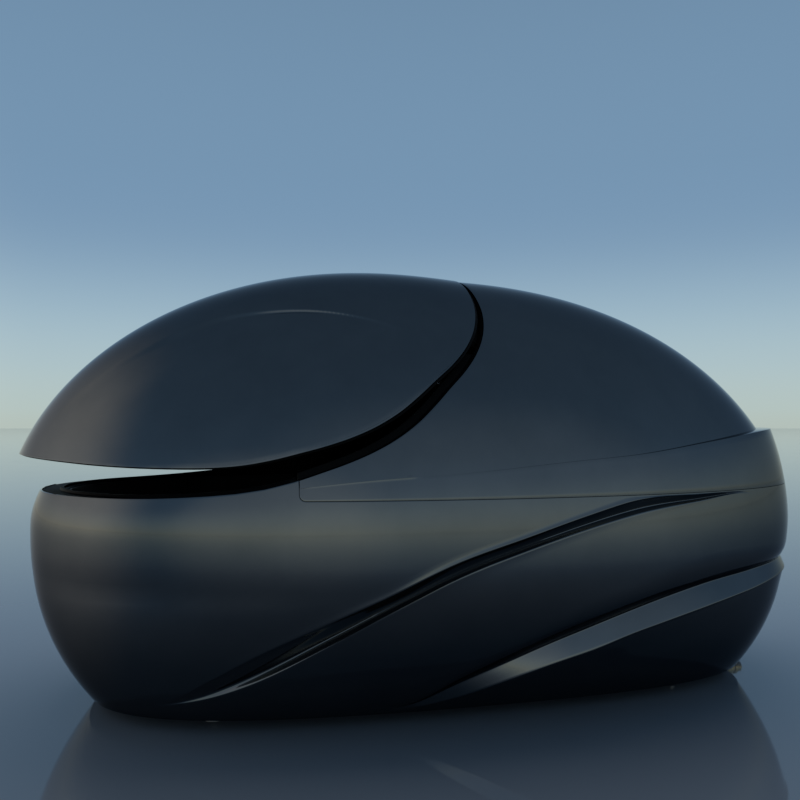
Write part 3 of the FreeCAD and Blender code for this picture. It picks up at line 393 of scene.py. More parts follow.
def ramp(tree, factor, low, high, start=0.3, end=0.7):
    # a value or a colour that goes from low to high
    spread = node(tree, "ShaderNodeMapRange", {"From Min": start, "From Max": end})
    tree.links.new(factor, spread.inputs["Value"])
    if not isinstance(low, tuple):
        spread.inputs["To Min"].default_value = low
        spread.inputs["To Max"].default_value = high
        return spread.outputs["Result"]
    mix = node(tree, "ShaderNodeMix", data_type="RGBA")
    tree.links.new(spread.outputs["Result"], mix.inputs["Factor"])
    mix.inputs[mixColours["first"]].default_value = (*low, 1)
    mix.inputs[mixColours["second"]].default_value = (*high, 1)
    return mix.outputs[mixColours["result"]]


def tint(tree, shader, look, colourMask, roughnessMask, normal):
    link = tree.links.new
    link(ramp(tree, colourMask, look["dark"], look["light"]), shader.inputs["Base Color"])
    link(ramp(tree, roughnessMask, *look["roughness"]), shader.inputs["Roughness"])
    link(normal, shader.inputs["Normal"])


def makeGloss(name, look):
    material, tree, shader, position = newMaterial(name)
    coat = placeGroup(tree, gelCoat, position, Peel=look["peel"], Wave=look["wave"])
    haze, normal = coat.outputs["Haze"], coat.outputs["Normal"]
    tint(tree, shader, look, haze, haze, normal)
    tree.links.new(normal, shader.inputs["Coat Normal"])
    shader.inputs["Metallic"].default_value = look["metallic"]
    shader.inputs["Coat Weight"].default_value = look["coat"]
    shader.inputs["Coat Roughness"].default_value = look["coatRoughness"]
    shader.inputs["Specular IOR Level"].default_value = look["level"]
    shader.inputs["Specular Tint"].default_value = (*look["edge"], 1)
    return material


def makeMoulded(name, look):
    material, tree, shader, position = newMaterial(name)
    grain = placeGroup(tree, mouldedGrain, position, Scale=look["scale"], Strength=look["grain"])
    tone = grain.outputs["Tone"]
    tint(tree, shader, look, tone, tone, grain.outputs["Normal"])
    shader.inputs["Specular IOR Level"].default_value = look["level"]
    return material


def makeMetal(name, look):
    material, tree, shader, position = newMaterial(name)
    lines = placeGroup(tree, brushedMetal, position, Strength=look["lines"])
    cloud, across = lines.outputs["Cloud"], lines.outputs["Lines"]
    tint(tree, shader, look, cloud, across, lines.outputs["Normal"])
    shader.inputs["Metallic"].default_value = 1.0
    return material


def table(columns, rows):
    # a dictionary for each row, with the columns as its keys
    return {name: dict(zip(columns, row)) for name, row in rows.items()}


# two tones that each surface drifts between, and its range of roughness
glossLooks = table(("dark", "light", "roughness", "metallic", "edge", "level", "coat",
                    "coatRoughness", "peel", "wave"), {
    "gloss_shell": ((0.100, 0.106, 0.112), (0.116, 0.121, 0.126), (0.040, 0.065), 1.0,
                    (0.50, 0.51, 0.53), 0.5, 0.0, 0.02, 0.03, 0.02),
    "inner_black": ((0.011, 0.011, 0.012), (0.017, 0.017, 0.018), (0.26, 0.38), 0.0,
                    (1.0, 1.0, 1.0), 0.5, 0.25, 0.12, 0.06, 0.0),
    # painted shade: a near-black with almost no reflection, so the deck, the returns and the rim's
    # lip stay as dark as the shade in the gaps and under the lid
    "shaded_black": ((0.0025, 0.0025, 0.003), (0.004, 0.004, 0.0045), (0.42, 0.55), 0.0,
                   (1.0, 1.0, 1.0), 0.01, 0.0, 0.2, 0.06, 0.0),
    "lens_clear": ((0.55, 0.60, 0.62), (0.62, 0.67, 0.70), (0.12, 0.20), 0.0,
                   (1.0, 1.0, 1.0), 0.5, 0.6, 0.05, 0.05, 0.0),
})
mouldedLooks = table(("dark", "light", "roughness", "scale", "grain", "level"), {
    "seal_rubber": ((0.003, 0.003, 0.003), (0.005, 0.005, 0.005), (0.6, 0.8), 700.0, 0.2, 0.08),
    "fitting_black": ((0.012, 0.012, 0.013), (0.018, 0.018, 0.019), (0.36, 0.5), 1100.0, 0.12, 0.5),
    "button_cap": ((0.42, 0.44, 0.45), (0.50, 0.52, 0.53), (0.3, 0.42), 1200.0, 0.08, 0.5),
    "frame_paint": ((0.045, 0.047, 0.050), (0.062, 0.065, 0.068), (0.42, 0.6), 520.0, 0.25, 0.5),
    "pipe_white": ((0.55, 0.55, 0.53), (0.68, 0.68, 0.66), (0.35, 0.5), 400.0, 0.05, 0.5),
    "pump_plastic": ((0.018, 0.019, 0.021), (0.026, 0.027, 0.030), (0.4, 0.55), 800.0, 0.2, 0.5),
    "motor_paint": ((0.05, 0.09, 0.14), (0.07, 0.12, 0.18), (0.38, 0.55), 450.0, 0.2, 0.5),
    "filter_paper": ((0.62, 0.60, 0.54), (0.74, 0.72, 0.66), (0.8, 0.95), 600.0, 0.3, 0.5),
    "heater_mat": ((0.16, 0.06, 0.03), (0.22, 0.08, 0.04), (0.6, 0.8), 500.0, 0.3, 0.5),
    "box_grey": ((0.30, 0.31, 0.32), (0.38, 0.39, 0.40), (0.42, 0.58), 700.0, 0.2, 0.5),
})
metalLooks = table(("dark", "light", "roughness", "lines"), {
    "stainless": ((0.46, 0.47, 0.48), (0.58, 0.58, 0.59), (0.18, 0.34), 0.12),
    "zinc": ((0.42, 0.43, 0.44), (0.55, 0.56, 0.57), (0.32, 0.5), 0.08),
    "bronze": ((0.34, 0.20, 0.09), (0.44, 0.27, 0.13), (0.3, 0.45), 0.1),
    "valve_brass": ((0.52, 0.36, 0.13), (0.62, 0.45, 0.19), (0.25, 0.4), 0.1),
})
finishes = {}
for make, looks in ((makeGloss, glossLooks), (makeMoulded, mouldedLooks), (makeMetal, metalLooks)):
    for name, look in looks.items():
        finishes[name] = make(name + "Finish", look)

for name, part in nodes.items():
    for slotted in part.material_slots:
        key = slotted.material.name.split(".")[0] if slotted.material else ""
        if name == "rim_lip":
            slotted.material = finishes["shaded_black"]      # its edge faces the slit under the lid: painted shade, the unreflecting black of the shade in the slit
        elif key in finishes:
            slotted.material = finishes[key]
        else:
            print("no finish for", name, key)
print("materials ready")


# ---- tub
tub = {
    "columns": 150,                # along the near half
    "wall": 0.0022,
    # the notch in the rim that the canopy's horn drops into: from and to along the pod, its height,
    # steps, distance kept by the other columns, length of its wall, straight part, run-out
    "notch": {"x": (-0.470, -0.540), "z": 0.64, "steps": 16, "clear": 0.003, "wall": 0.030,
              "straight": 0.031, "runOut": 0.1, "guideZ": 0.65},
    "footInsets": (0.030, 0.014),  # level rows under the foot, before its edge
    "footEdge": 0.004,
    "lowSteps": 10,
    "middleSteps": 14,
    "topSteps": 24,
    "room": 0.9,                   # share of the free height that a groove's lead may take
    "rimLedge": 0.002,             # kept between the high groove and the rim
    "rimInsets": (0.0045, 0.0048),
    "rimDrop": (0.006, 0.0004),
    "rimEdge": 0.001,
    "deckDrop": (0.005, 0.0003),
    "deckInsets": (0.0052, 0.0056, 0.012, 0.040),
    "mouthRows": ((1.006, 0.0), (1.0, 0.003), (1.0, 0.0058)),      # share of its size, and drop
    "middle": (0, 0, 0.35),
    # place round the plan, upper edge, lower edge and depth of each flowing groove
    "highGroove": [(0, .590, .575, 0), (.35, .600, .585, 0), (.50, .624, .612, 0),
                   (.60, .633, .627, .001), (.70, .632, .614, .010), (.82, .623, .588, .016),
                   (.90, .585, .552, .018), (.98, .534, .502, .020), (1.06, .477, .439, .022),
                   (1.13, .409, .364, .024), (1.20, .342, .279, .025), (1.29, .257, .180, .021),
                   (1.37, .178, .125, .011), (1.45, .112, .098, .002), (1.55, .096, .084, 0),
                   (2, .094, .082, 0)],
    "lowGroove": [(0, .402, .368, .016), (.13, .402, .368, .016), (.27, .401, .366, .018),
                  (.40, .399, .361, .024), (.54, .394, .346, .031), (.69, .374, .314, .039),
                  (.77, .346, .286, .045), (.83, .315, .257, .049), (.88, .282, .220, .052),
                  (.93, .243, .186, .052), (.98, .194, .141, .046), (1.03, .136, .092, .032),
                  (1.08, .074, .060, .008), (1.15, .064, .053, 0), (2, .062, .052, 0)],
    # share of the groove's height below its upper edge, and share of its depth: the high one
    # hangs over its valley and comes back in a short lip, the low one falls in slowly from above
    # and comes out as a ledge
    "highProfile": [(-.40, 0), (-.24, -.02), (-.13, -.055), (-.07, -.07), (-.03, -.055), (.0, .0),
                    (.04, .10), (.10, .21), (.18, .34), (.30, .52), (.42, .69), (.54, .84),
                    (.63, .94), (.69, .99), (.73, 1.0), (.77, .96), (.81, .84), (.86, .62),
                    (.91, .36), (.95, .16), (.98, .04), (1.0, -.01), (1.04, -.03), (1.15, -.02),
                    (1.4, 0)],
    "lowProfile": [(-1.3, 0), (-1.0, .03), (-.75, .10), (-.5, .21), (-.32, .32), (-.18, .43),
                   (-.08, .52), (-.03, .575), (.0, .61), (.02, .62), (.05, .61), (.09, .57),
                   (.2, .455), (.35, .30), (.5, .145), (.65, -.01), (.8, -.165), (.89, -.26),
                   (.93, -.29), (.96, -.295), (.985, -.265), (1.0, -.20), (1.02, -.135),
                   (1.05, -.11), (1.15, -.105), (1.4, -.08), (1.8, -.03), (2.2, 0)],
}


def grooveAt(stations, turn):
    # upper edge, lower edge and depth at places round the plan
    place, upper, lower, depth = np.array(stations).T
    deep = np.clip(spline(place, depth, turn), 0, None)
    return spline(place, upper, turn), spline(place, lower, turn), deep


def rimCurve(turns):
    # the rim's turn and height at each column, with the notch that the canopy's horn drops into
    notch, rim = tub["notch"], pod["rimZ"]
    radius, hornX = pod["hornRadius"], pod["hornX"]
    corner = radius * math.pi / 2
    x = bodyPoint(turns, np.full(len(turns), notch["guideZ"]))[0]
    run = np.clip((hornX + radius - x) / notch["wall"], 0, 1) * (corner + notch["straight"])
    angle = np.clip(run / radius, 0, math.pi / 2)
    rimX = np.where(run > 0, hornX + radius - radius * np.sin(angle), x)
    height = rim + radius * (1 - np.cos(angle)) + np.clip(run - corner, 0, None)
    past = x < hornX - radius
    px, pz = np.array(seamLine).T
    slide = x + radius * (1 - ease((hornX - radius - x) / notch["runOut"]))
    rimX = np.where(past, slide, rimX)
    height = np.where(past, np.interp(rimX, px, pz), height)
    turn = turnAt(rimX, height)
    turn[0], turn[-1] = 0, 2
    return turn, height


def makeTub():
    turns = np.linspace(0, 2, tub["columns"] + 1)
    notch = tub["notch"]
    start, end = turnAt(np.array(notch["x"]), np.full(2, notch["z"]))
    turns = np.concatenate([turns[turns < start - notch["clear"]],
                            np.linspace(start, end, notch["steps"] + 1),
                            turns[turns > end + notch["clear"]]])
    count, rim = len(turns), pod["rimZ"]
    rimTurn, rimHeight = rimCurve(turns)
    highUp, highLow, highDeep = grooveAt(tub["highGroove"], turns)
    lowUp, lowLow, lowDeep = grooveAt(tub["lowGroove"], turns)
    flat = np.zeros(count)
    rows = []       # turn, z, inset, depth of groove

    def band(lower, upper, steps, first=0):
        for k in range(first, steps):
            rows.append((turns, lower + (upper - lower) * k / steps, 0.0, flat))

    def groove(profile, upper, lower, deep, floorZ, roof):
        # the lead above and below is drawn in where it has no room
        tall, room = upper - lower, tub["room"]
        above, below = profile[0][0], profile[-1][0] - 1
        for down, share in reversed(profile):
            z = upper - tall * down
            if down < 0:
                z = upper + np.minimum(tall * -down, (roof - upper) * -down / -above * room)
            if down > 1:
                free = (lower - floorZ) * room
                z = lower - np.minimum(tall * (down - 1), free * (down - 1) / below)
            rows.append((turns, z, 0.0, deep * share))
        return rows[-1][1]

    foot = np.full(count, pod["footZ"])
    for inset in tub["footInsets"]:
        rows.append((turns, foot, inset, flat))
    tail = tub["lowProfile"][-1][0] - 1
    lead = np.minimum((lowUp - lowLow) * tail, (lowLow - foot) * tub["room"])
    band(foot, lowLow - lead, tub["lowSteps"])
    roof = highLow - np.minimum(0.3 * (highLow - lowUp), 0.02)
    top = groove(tub["lowProfile"], lowUp, lowLow, lowDeep, foot, roof)
    lead = np.minimum((highUp - highLow) * 0.22, (highLow - top) * tub["room"])
    band(top, highLow - lead, tub["middleSteps"], 1)
    ceiling = np.maximum(np.minimum(rimHeight, rim) - tub["rimLedge"], highUp + 0.0005)
    top = groove(tub["highProfile"], highUp, highLow, highDeep, top, ceiling)
    for k in range(1, tub["topSteps"] + 1):
        # columns lean over to the rim's own places
        s = 1 - (1 - k / tub["topSteps"]) ** 1.5
        rows.append((turns + (rimTurn - turns) * s ** 4, top + (rimHeight - top) * s, 0.0, flat))
    outer = len(rows)
    drop, clear = tub["rimDrop"]
    rows.append((rimTurn, rimHeight, tub["rimInsets"][0], flat))
    rows.append((rimTurn, np.maximum(rimHeight - drop, rim + clear), tub["rimInsets"][1], flat))
    place = np.zeros((count, len(rows), 3))
    for j, (turn, z, inset, depth) in enumerate(rows):
        x, y = bodyPoint(turn, z, inset)
        nx, ny = bodyInward(turn, z)
        place[:, j] = np.stack([x + nx * depth, y + ny * depth, z], axis=1)
    place[[0, -1], :, 1] = 0
    bm = gridMesh(place)
    bothSides(bm)
    roundRows(bm, (len(tub["footInsets"]),), tub["footEdge"])
    roundRows(bm, (outer - 1,), tub["rimEdge"], 2)
    faceOutward(bm, Vector(tub["middle"]))
    finishPiece(bm, "tubMoulding", "tank", ["tub_shell"], finishes["gloss_shell"],
                tub["wall"])

    # the deck between the outer moulding and the basin: the part's own black with painted shade,
    # its reflection taken out so it stays as dark as shade
    drop, clear = tub["deckDrop"]
    level = np.full(count, rim)
    places = [(rimTurn, np.maximum(rimHeight - drop, level + clear)), (turns, level + clear),
              (turns, level), (turns, level)]
    columns = []
    for (turn, z), inset in zip(places, tub["deckInsets"]):
        x, y = bodyPoint(turn, z, inset)
        columns.append(np.stack([x, y, z], axis=1))
    for share, drop in tub["mouthRows"]:
        x, y = planPoint(turns, *[size * share for size in pod["mouth"]], pod["fullness"][0])
        columns.append(np.stack([x, y, level - drop], axis=1))
    place = np.stack(columns, axis=1)
    place[[0, -1], :, 1] = 0
    bm = gridMesh(place)
    bothSides(bm)
    faceOutward(bm, Vector(tub["middle"]))
    finishPiece(bm, "tubDeck", "tank", ["tub_shell"], finishes["shaded_black"],
                tub["wall"])


makeTub()


# ---- lid and canopy
lid = {
    "along": 190,
    "across": 96,
    "gap": (-0.0115, 0.0045),      # to the canopy and to the tub
    "depth": 0.034,
    "wall": 0.005,
    "lining": 0.004,
    "edge": 0.0015,
    # shares of the depth, from the lining to the skin
    "returnRows": (1.0, 0.8, 0.6, 0.4, 0.16),
    "turnedIn": (0.18, 0.1),
    "closer": 10.0,                # how much closer the rows lie at the bonnet's crease
    "closeBand": 0.035,            # and over which share of the arch
}
# the raised bonnet on the lid, lid closed
bonnet = {
    # its lower crease, as x and z
    "crease": [(-1.20, 0.66), (-1.122, 0.725), (-1.069, 0.797), (-0.975, 0.890), (-0.820, 1.000),
               (-0.681, 1.066), (-0.558, 1.094), (-0.476, 1.104), (-0.415, 1.106),
               (-0.348, 1.102), (-0.278, 1.092), (-0.172, 1.064), (-0.06, 1.02)],
    # place along the lid, height of the step there, width over which it falls away below
    "step": [(-1.25, 0.0, 0.05), (-1.12, 0.0010, 0.05), (-0.97, 0.0040, 0.045),
             (-0.80, 0.0070, 0.036), (-0.60, 0.0080, 0.012), (-0.45, 0.0070, 0.006),
             (-0.34, 0.0060, 0.006), (-0.24, 0.0040, 0.014), (-0.14, 0.0022, 0.03),
             (-0.05, 0.0, 0.04), (0.1, 0.0, 0.04)],
    "comeBack": 0.16,              # the skin is back at its own height this far below
    "middleZ": 0.35,
}


def lidOutline(inset, shares):
    # from the front tip along the rim and up the seam to the top corner, and the centre line
    dx, dz = lid["gap"]
    level = seamLine[0][1] + dz
    tip = tipAtHeight(level, inset, True)
    s = np.linspace(0, 1, 200) ** 2
    frontX = tip + (seamLine[0][0] + dx - tip) * s
    frontT = placeAtHeight(frontX, np.full(200, level), inset)
    seamX, seamT = seamCurve(dx, dz, seamLine[0][0] + dx + 1e-4, inset)
    corner = len(seamX) - topSteps
    x, t = np.concatenate([frontX, seamX[:corner]]), np.concatenate([frontT, seamT[:corner]])
    edgeX, edgeT = resample(x, t, inset, shares)
    s = np.linspace(0, 1, 400) ** 2
    middleX = tip + (x[-1] - tip) * s
    middleX, _ = resample(middleX, np.ones(400), inset, shares)
    return edgeX, edgeT, middleX


def lidSurface(inset):
    shares = np.linspace(0, 1, lid["along"] + 1)
    edgeX, edgeT, middleX = lidOutline(inset, shares)
    even = np.linspace(1, 0, lid["across"] + 1)
    cx, cz = np.array(bonnet["crease"]).T
    creaseT = spline(cx, placeAtHeight(cx, cz), np.clip((edgeX + middleX) / 2, cx[0], cx[-1]))
    crease = np.clip((1 - creaseT) / np.maximum(1 - edgeT, 1e-6), 0, 1)
    fine = np.linspace(0, 1, 600)
    across = np.empty((len(crease), len(even)))
    for i, centre in enumerate(crease):
        crowd = 1 + lid["closer"] * np.exp(-((fine - centre) / lid["closeBand"]) ** 2)
        total = np.concatenate([[0], np.cumsum((crowd[1:] + crowd[:-1]) / 2)])
        across[i] = np.interp(even, total / total[-1], fine)
    x = middleX[:, None] + (edgeX - middleX)[:, None] * across ** 2
    t = 1 - (1 - edgeT)[:, None] * across
    place = np.stack(domePoint(x, t, inset), axis=2)
    place[:, -1, 1] = 0
    return place


def lidReturn(shares):
    # rows from the lid's edge towards its lining
    along = np.linspace(0, 1, lid["along"] + 1)
    ends = []
    for inset in (0.0, lid["depth"]):
        edgeX, edgeT, _ = lidOutline(inset, along)
        ends.append(np.stack(domePoint(edgeX, edgeT, inset), axis=1))
        ends[-1][0, 1] = 0
    return np.stack([ends[0] + (ends[1] - ends[0]) * s for s in shares], axis=1)


def pressBonnet(place):
    # sinks the skin in below the crease and lets it come back above it
    cx, cz = np.array(bonnet["crease"]).T
    px, height, width = np.array(bonnet["step"]).T
    x, y, z = place[..., 0], place[..., 1], place[..., 2]
    at = spline(cx, placeAtHeight(cx, cz), np.clip(x, cx[0], cx[-1]))
    _, creaseY, creaseZ = domePoint(x, at)
    far = np.hypot(y - creaseY, z - creaseZ) * np.where(z > creaseZ, 1, -1)
    tall = spline(px, height, np.clip(x, px[0], px[-1]))
    wide = spline(px, width, np.clip(x, px[0], px[-1]))
    below = ease((far + wide) / wide)                      # 0 well below the crease, 1 on it
    lowFade = ease(1 + (far + wide) / bonnet["comeBack"])
    sink = np.where(far > 0, 0, tall * (1 - below) * lowFade)
    across = np.stack([np.zeros_like(x), y, z - bonnet["middleZ"]], axis=-1)
    outward = across / np.maximum(np.linalg.norm(across, axis=-1, keepdims=True), 1e-9)
    return place - outward * sink[..., None]


def setAjar(bm):
    pivot = Vector((hinge["x"], 0, hinge["z"]))
    bmesh.ops.rotate(bm, verts=bm.verts[:], cent=pivot,
                     matrix=Matrix.Rotation(math.radians(hinge["ajar"]), 3, "Y"))


def makeLid():
    place = lidSurface(0.0)
    bm = gridMesh(np.concatenate([lidReturn(lid["turnedIn"]), pressBonnet(place)], axis=1))
    bothSides(bm)
    roundRows(bm, (len(lid["turnedIn"]),), lid["edge"])
    faceOutward(bm, Vector((-0.4, 0, 0.7)))
    setAjar(bm)
    finishPiece(bm, "lidMoulding", "lid", ["lid_shell"], finishes["gloss_shell"],
                lid["wall"])
    # the return at the lid's edge, in the unreflecting black of painted shade
    bm = gridMesh(lidReturn(lid["returnRows"]))
    bothSides(bm)
    faceOutward(bm, Vector((-0.4, 0, 0.9)))
    setAjar(bm)
    finishPiece(bm, "lidReturn", "lid", ["lid_shell"], finishes["shaded_black"],
                lid["wall"])
    bm = gridMesh(lidSurface(lid["depth"]))
    bothSides(bm)
    faceOutward(bm, Vector((-0.4, 0, 0.7)))
    setAjar(bm)
    finishPiece(bm, "lidLining", "lid", ["lid_liner"], finishes["inner_black"],
                lid["lining"])


makeLid()

canopy = {
    "around": 150,
    "up": 80,
    "gasket": 0.0014,
    "depth": 0.038,
    "wall": 0.005,
    "lining": 0.004,
    "edge": 0.003,
    "lowEdge": 0.001,
    "hornZ": 0.667,
    "guideZ": 0.7,
    "underInsets": (0.048, 0.024, 0.0),      # rows under the lower edge
    "collarRows": (0.12, 0.3, 0.5, 0.7, 0.88, 1.0),
    # shares of the depth, from the skin to the lining
    "turnedIn": (0.08, 0.16),
    "returnRows": (0.14, 0.27, 0.4, 0.7, 1.0),
    "armSlots": (0.054, 0.116, 1.300),       # from and to across, and the top, of the arms' slots
    "liningLift": 0.006,
    "liningRows": 61,
}
# painted shade: a dark strip in the seal's rubber finish behind the gap in front of the horn, so
# the gap reads dark: along from the horn, height, inset
hornShadeStrip = {"along": (-0.024, 0.020, 8), "up": (0.630, 0.688, 10), "inset": 0.0075, "wall": 0.002}


def collarHeight(x):
    px, pz = np.array(collarLine).T
    return spline(px, pz, x)


def domeFrom(turn, x, y, z):
    # from a point of the collar's edge, level and inward, to the dome
    nx, ny = bodyInward(turn, z)

    def short(d):
        ax, ay = x + nx * d, y + ny * d
        width, height = archSize(ax)
        share = np.clip(-ay / width, 0, 1)
        up = np.interp(share, archAcross[::-1], archUp[::-1])
        return np.where(-ay > width, -1, dome["base"] + height * up - z)

    d = solve(short, np.zeros_like(x), np.full_like(x, 0.12))
    return x + nx * d, y + ny * d


def makeCanopy():
    c = np.linspace(0, 1, canopy["around"] + 1) ** 1.5
    gap, radius, inset = canopy["gasket"], pod["hornRadius"], canopy["depth"]
    frontX, low = pod["hornX"] + gap, pod["rimZ"] + gap
    start = turnAt(np.array([frontX]), np.array([canopy["hornZ"]]))[0]
    turn = start * (1 - c)
    # lower edge, with the horn's rounded corner
    bx, _ = bodyPoint(turn, np.full_like(turn, low))
    run = lengths(bx)
    angle = np.clip(run / radius, 0, math.pi / 2)
    cornerX = frontX + radius * (1 - np.cos(angle))
    lowX = np.where(run < radius * math.pi / 2, cornerX, np.maximum(bx, frontX + radius))
    lowZ = low + radius * (1 - np.sin(angle))
    lowTurn = turnAt(lowX, lowZ)
    lowTurn[-1] = 0
    # collar
    topX, topY = bodyPoint(turn, np.full_like(turn, canopy["guideZ"]))
    for _ in range(4):
        topZ = collarHeight(topX)
        topX, topY = bodyPoint(turn, topZ)
    rows = []
    for under in canopy["underInsets"]:
        x, y = bodyPoint(lowTurn, lowZ, under)
        rows.append(np.stack([x, y, lowZ], axis=1))
    lowRow = len(rows) - 1
    for s in canopy["collarRows"]:
        z, t = lowZ + (topZ - lowZ) * s, lowTurn + (turn - lowTurn) * s
        x, y = bodyPoint(t, z)
        rows.append(np.stack([x, y, z], axis=1))
    edgeRow = len(rows) - 1
    innerX, _ = domeFrom(turn, topX, topY, topZ)
    innerT = placeAtHeight(innerX, topZ)
    innerT[-1] = 1
    foot = np.stack(domePoint(innerX, innerT), axis=1)
    rows.append(rows[-1] + (foot - rows[-1]) * 0.5)
    # dome
    seamX, seamT = seamCurve(0, 0, frontX, 0.0)
    seamX, seamT = resample(seamX, seamT, 0.0, c)
    for s in np.arange(canopy["up"] + 1) / canopy["up"]:
        place = domePoint(innerX + (seamX - innerX) * s, innerT + (seamT - innerT) * s)
        rows.append(np.stack(place, axis=1))
    seamRow = len(rows) - 1
    deepX, deepT = seamCurve(0, 0, frontX, inset)
    deepX, deepT = resample(deepX, deepT, inset, c)
    deep = np.stack(domePoint(deepX, deepT, inset), axis=1)
    seam = rows[seamRow]
    for s in canopy["turnedIn"]:
        rows.append(seam + (deep - seam) * s)
    place = np.stack(rows, axis=1)
    place[-1, :, 1] = 0
    bm = gridMesh(place)
    bothSides(bm)
    roundRows(bm, (lowRow,), canopy["lowEdge"])
    roundRows(bm, (edgeRow,), canopy["edge"])
    roundRows(bm, (seamRow,), canopy["edge"])
    faceOutward(bm, Vector((0.4, 0, 0.7)))
    finishPiece(bm, "canopyMoulding", "tank", ["canopy_shell"], finishes["gloss_shell"],
                canopy["wall"])

    # the return along the seam, with slots for the hinge arms: the part's own black with painted
    # shade, its reflection taken out so it stays as dark as shade
    back = np.stack([seam + (deep - seam) * s for s in canopy["returnRows"]], axis=1)
    back[-1, :, 1] = 0
    bm = gridMesh(back)
    bothSides(bm)
    near, far, top = canopy["armSlots"]
    middles = {f: f.calc_center_median() for f in bm.faces}
    slots = [f for f, middle in middles.items() if near < abs(middle.y) < far and middle.z < top]
    bmesh.ops.delete(bm, geom=slots, context="FACES")
    faceOutward(bm, Vector((0.6, 0, 0.9)))
    finishPiece(bm, "canopyReturn", "tank", ["canopy_shell"], finishes["shaded_black"],
                canopy["wall"])

    # lining
    lift = canopy["liningLift"]
    level = pod["rimZ"] + gap + lift
    end = tipAtHeight(level, inset, False)
    footX = end - (end - frontX - lift) * np.linspace(1, 0, 300) ** 2
    footT = placeAtHeight(footX, np.full(300, level), inset)
    shares = np.linspace(0, 1, canopy["around"] + 1)
    footX, footT = resample(footX, footT, inset, shares)
    seamX, seamT = seamCurve(0, 0, frontX + lift, inset)
    seamX, seamT = resample(seamX, seamT, inset, shares)
    rise = np.linspace(0, 1, canopy["liningRows"])
    x = footX[:, None] + (seamX - footX)[:, None] * rise
    t = footT[:, None] + (seamT - footT)[:, None] * rise
    place = np.stack(domePoint(x, t, inset), axis=2)
    place[-1, :, 1] = 0
    bm = gridMesh(place)
    bothSides(bm)
    faceOutward(bm, Vector((0.4, 0, 0.7)))
    finishPiece(bm, "canopyLining", "tank", ["canopy_liner"], finishes["inner_black"],
                canopy["lining"])


# painted shade: a dark strip behind the horn's gap, which keeps the gap dark
def makeHornShadeStrip():
    along, up = np.meshgrid(np.linspace(*hornShadeStrip["along"]), np.linspace(*hornShadeStrip["up"]),
                            indexing="ij")
    turn = turnAt(pod["hornX"] + along, up)
    x, y = bodyPoint(turn, up, hornShadeStrip["inset"])
    bm = gridMesh(np.stack([x, y, up], axis=2))
    bothSides(bm)
    faceOutward(bm, Vector((-0.5, 0, 0.66)))
    finishPiece(bm, "hornShadeStrip", "tank", [], finishes["seal_rubber"],
                hornShadeStrip["wall"])


makeCanopy()
makeHornShadeStrip()

# ---- camera, light and floor
view = {"place": (-0.721, -2.642, 0.82), "yaw": 13.4, "pitch": 1.93, "lens": 36.0, "sensor": 36.0}
cameraData = bpy.data.cameras.new("camera")
cameraData.lens, cameraData.sensor_width = view["lens"], view["sensor"]
camera = bpy.data.objects.new("camera", cameraData)
camera.location = view["place"]
camera.rotation_euler = (math.radians(90 + view["pitch"]), 0, -math.radians(view["yaw"]))
bpy.context.scene.collection.objects.link(camera)
bpy.context.scene.camera = camera

studio = {
    "floor": (0.150, 0.175, 0.208),
    "floorRadius": 500.0,
    "floorRoughness": (0.04, 0.07),
    # how high in the backdrop (sine of the angle), and its colour there
    "backdrop": [(0.0, (0.45, 0.52, 0.48)), (0.02, (0.46, 0.55, 0.52)), (0.07, (0.43, 0.55, 0.58)),
                 (0.14, (0.33, 0.47, 0.57)), (0.22, (0.19, 0.31, 0.455)),
                 (0.30, (0.183, 0.305, 0.448)), (0.50, (0.16, 0.27, 0.40)),
                 (1.0, (0.11, 0.18, 0.27))],
    # brighter patches low in the backdrop, out of the photo's view: where, how wide (1 - cosine)
    # and the light they add
    "glows": [((-0.917, 0.398, 0.03), 0.46, (0.72, 0.58, 0.40)),
              ((0.30, -0.95, 0.06), 0.45, (0.12, 0.125, 0.115)),
              ((-0.45, -0.89, 0.04), 0.16, (0.20, 0.18, 0.13))],
    "overhead": {"place": (0.3, 1.2, 4.5), "aim": (0, 0, 0.6), "size": (5.0, 4.0), "power": 90,
                 "tint": (1.0, 0.92, 0.84)},
}
bm = bmesh.new()
bmesh.ops.create_circle(bm, cap_ends=True, segments=64, radius=studio["floorRadius"])
floorMesh = bpy.data.meshes.new("floor")
bm.to_mesh(floorMesh)
bm.free()
floor = bpy.data.objects.new("floor", floorMesh)
bpy.context.scene.collection.objects.link(floor)
floorMaterial, tree, shader, position = newMaterial("floorFinish")
tone = node(tree, "ShaderNodeTexNoise", {"Scale": 1.5, "Detail": 4.0})
tree.links.new(position, tone.inputs["Vector"])
floorRoughness = ramp(tree, tone.outputs["Fac"], *studio["floorRoughness"])
tree.links.new(floorRoughness, shader.inputs["Roughness"])
shader.inputs["Base Color"].default_value = (*studio["floor"], 1)
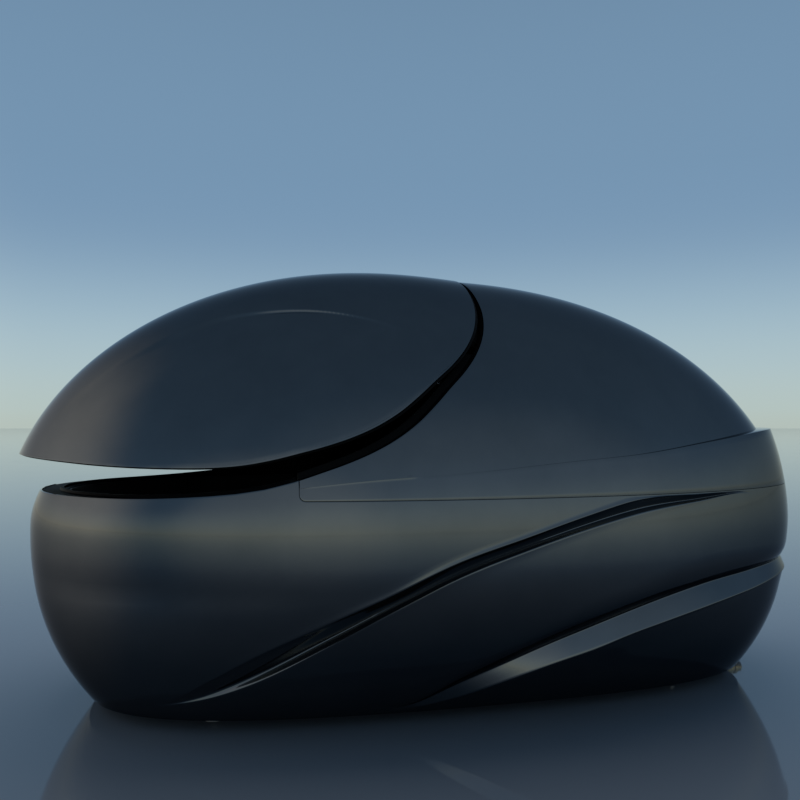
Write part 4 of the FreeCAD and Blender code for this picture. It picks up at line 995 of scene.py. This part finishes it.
floor.data.materials.append(floorMaterial)

world = bpy.data.worlds.new("studio")
world.use_nodes = True
tree = world.node_tree
back = tree.nodes["Background"]
towardsSky = tree.nodes.new("ShaderNodeTexCoord").outputs["Generated"]
height = tree.nodes.new("ShaderNodeSeparateXYZ")
tree.links.new(towardsSky, height.inputs["Vector"])
gradient = tree.nodes.new("ShaderNodeValToRGB")
gradient.color_ramp.interpolation = "B_SPLINE"
tree.links.new(height.outputs["Z"], gradient.inputs["Fac"])
for place, _ in studio["backdrop"][1:-1]:
    gradient.color_ramp.elements.new(place)
for stop, (place, colour) in zip(gradient.color_ramp.elements, studio["backdrop"]):
    stop.position, stop.color = place, (*colour, 1)
colour = gradient.outputs["Color"]
for direction, spread, light in studio["glows"]:
    towards = node(tree, "ShaderNodeVectorMath", operation="DOT_PRODUCT")
    tree.links.new(towardsSky, towards.inputs[0])
    towards.inputs[1].default_value = Vector(direction).normalized()
    near = node(tree, "ShaderNodeMapRange", {"From Min": 1 - spread, "From Max": 1.0},
                interpolation_type="SMOOTHERSTEP")
    tree.links.new(towards.outputs["Value"], near.inputs["Value"])
    lit = node(tree, "ShaderNodeMix", data_type="RGBA", blend_type="ADD")
    tree.links.new(near.outputs["Result"], lit.inputs["Factor"])
    tree.links.new(colour, lit.inputs[mixColours["first"]])
    lit.inputs[mixColours["second"]].default_value = (*light, 1)
    colour = lit.outputs[mixColours["result"]]
tree.links.new(colour, back.inputs["Color"])
bpy.context.scene.world = world

look = studio["overhead"]
lampData = bpy.data.lights.new("overhead", "AREA")
lampData.shape, lampData.size, lampData.size_y = "RECTANGLE", *look["size"]
lampData.energy, lampData.color = look["power"], look["tint"]
lamp = bpy.data.objects.new("overhead", lampData)
lamp.location = look["place"]
lookAlong = Vector(look["aim"]) - Vector(look["place"])
lamp.rotation_euler = lookAlong.to_track_quat("-Z", "Y").to_euler()
lamp.visible_glossy = False
bpy.context.scene.collection.objects.link(lamp)
print("studio ready")

bpy.context.scene.view_settings.view_transform = "Standard"
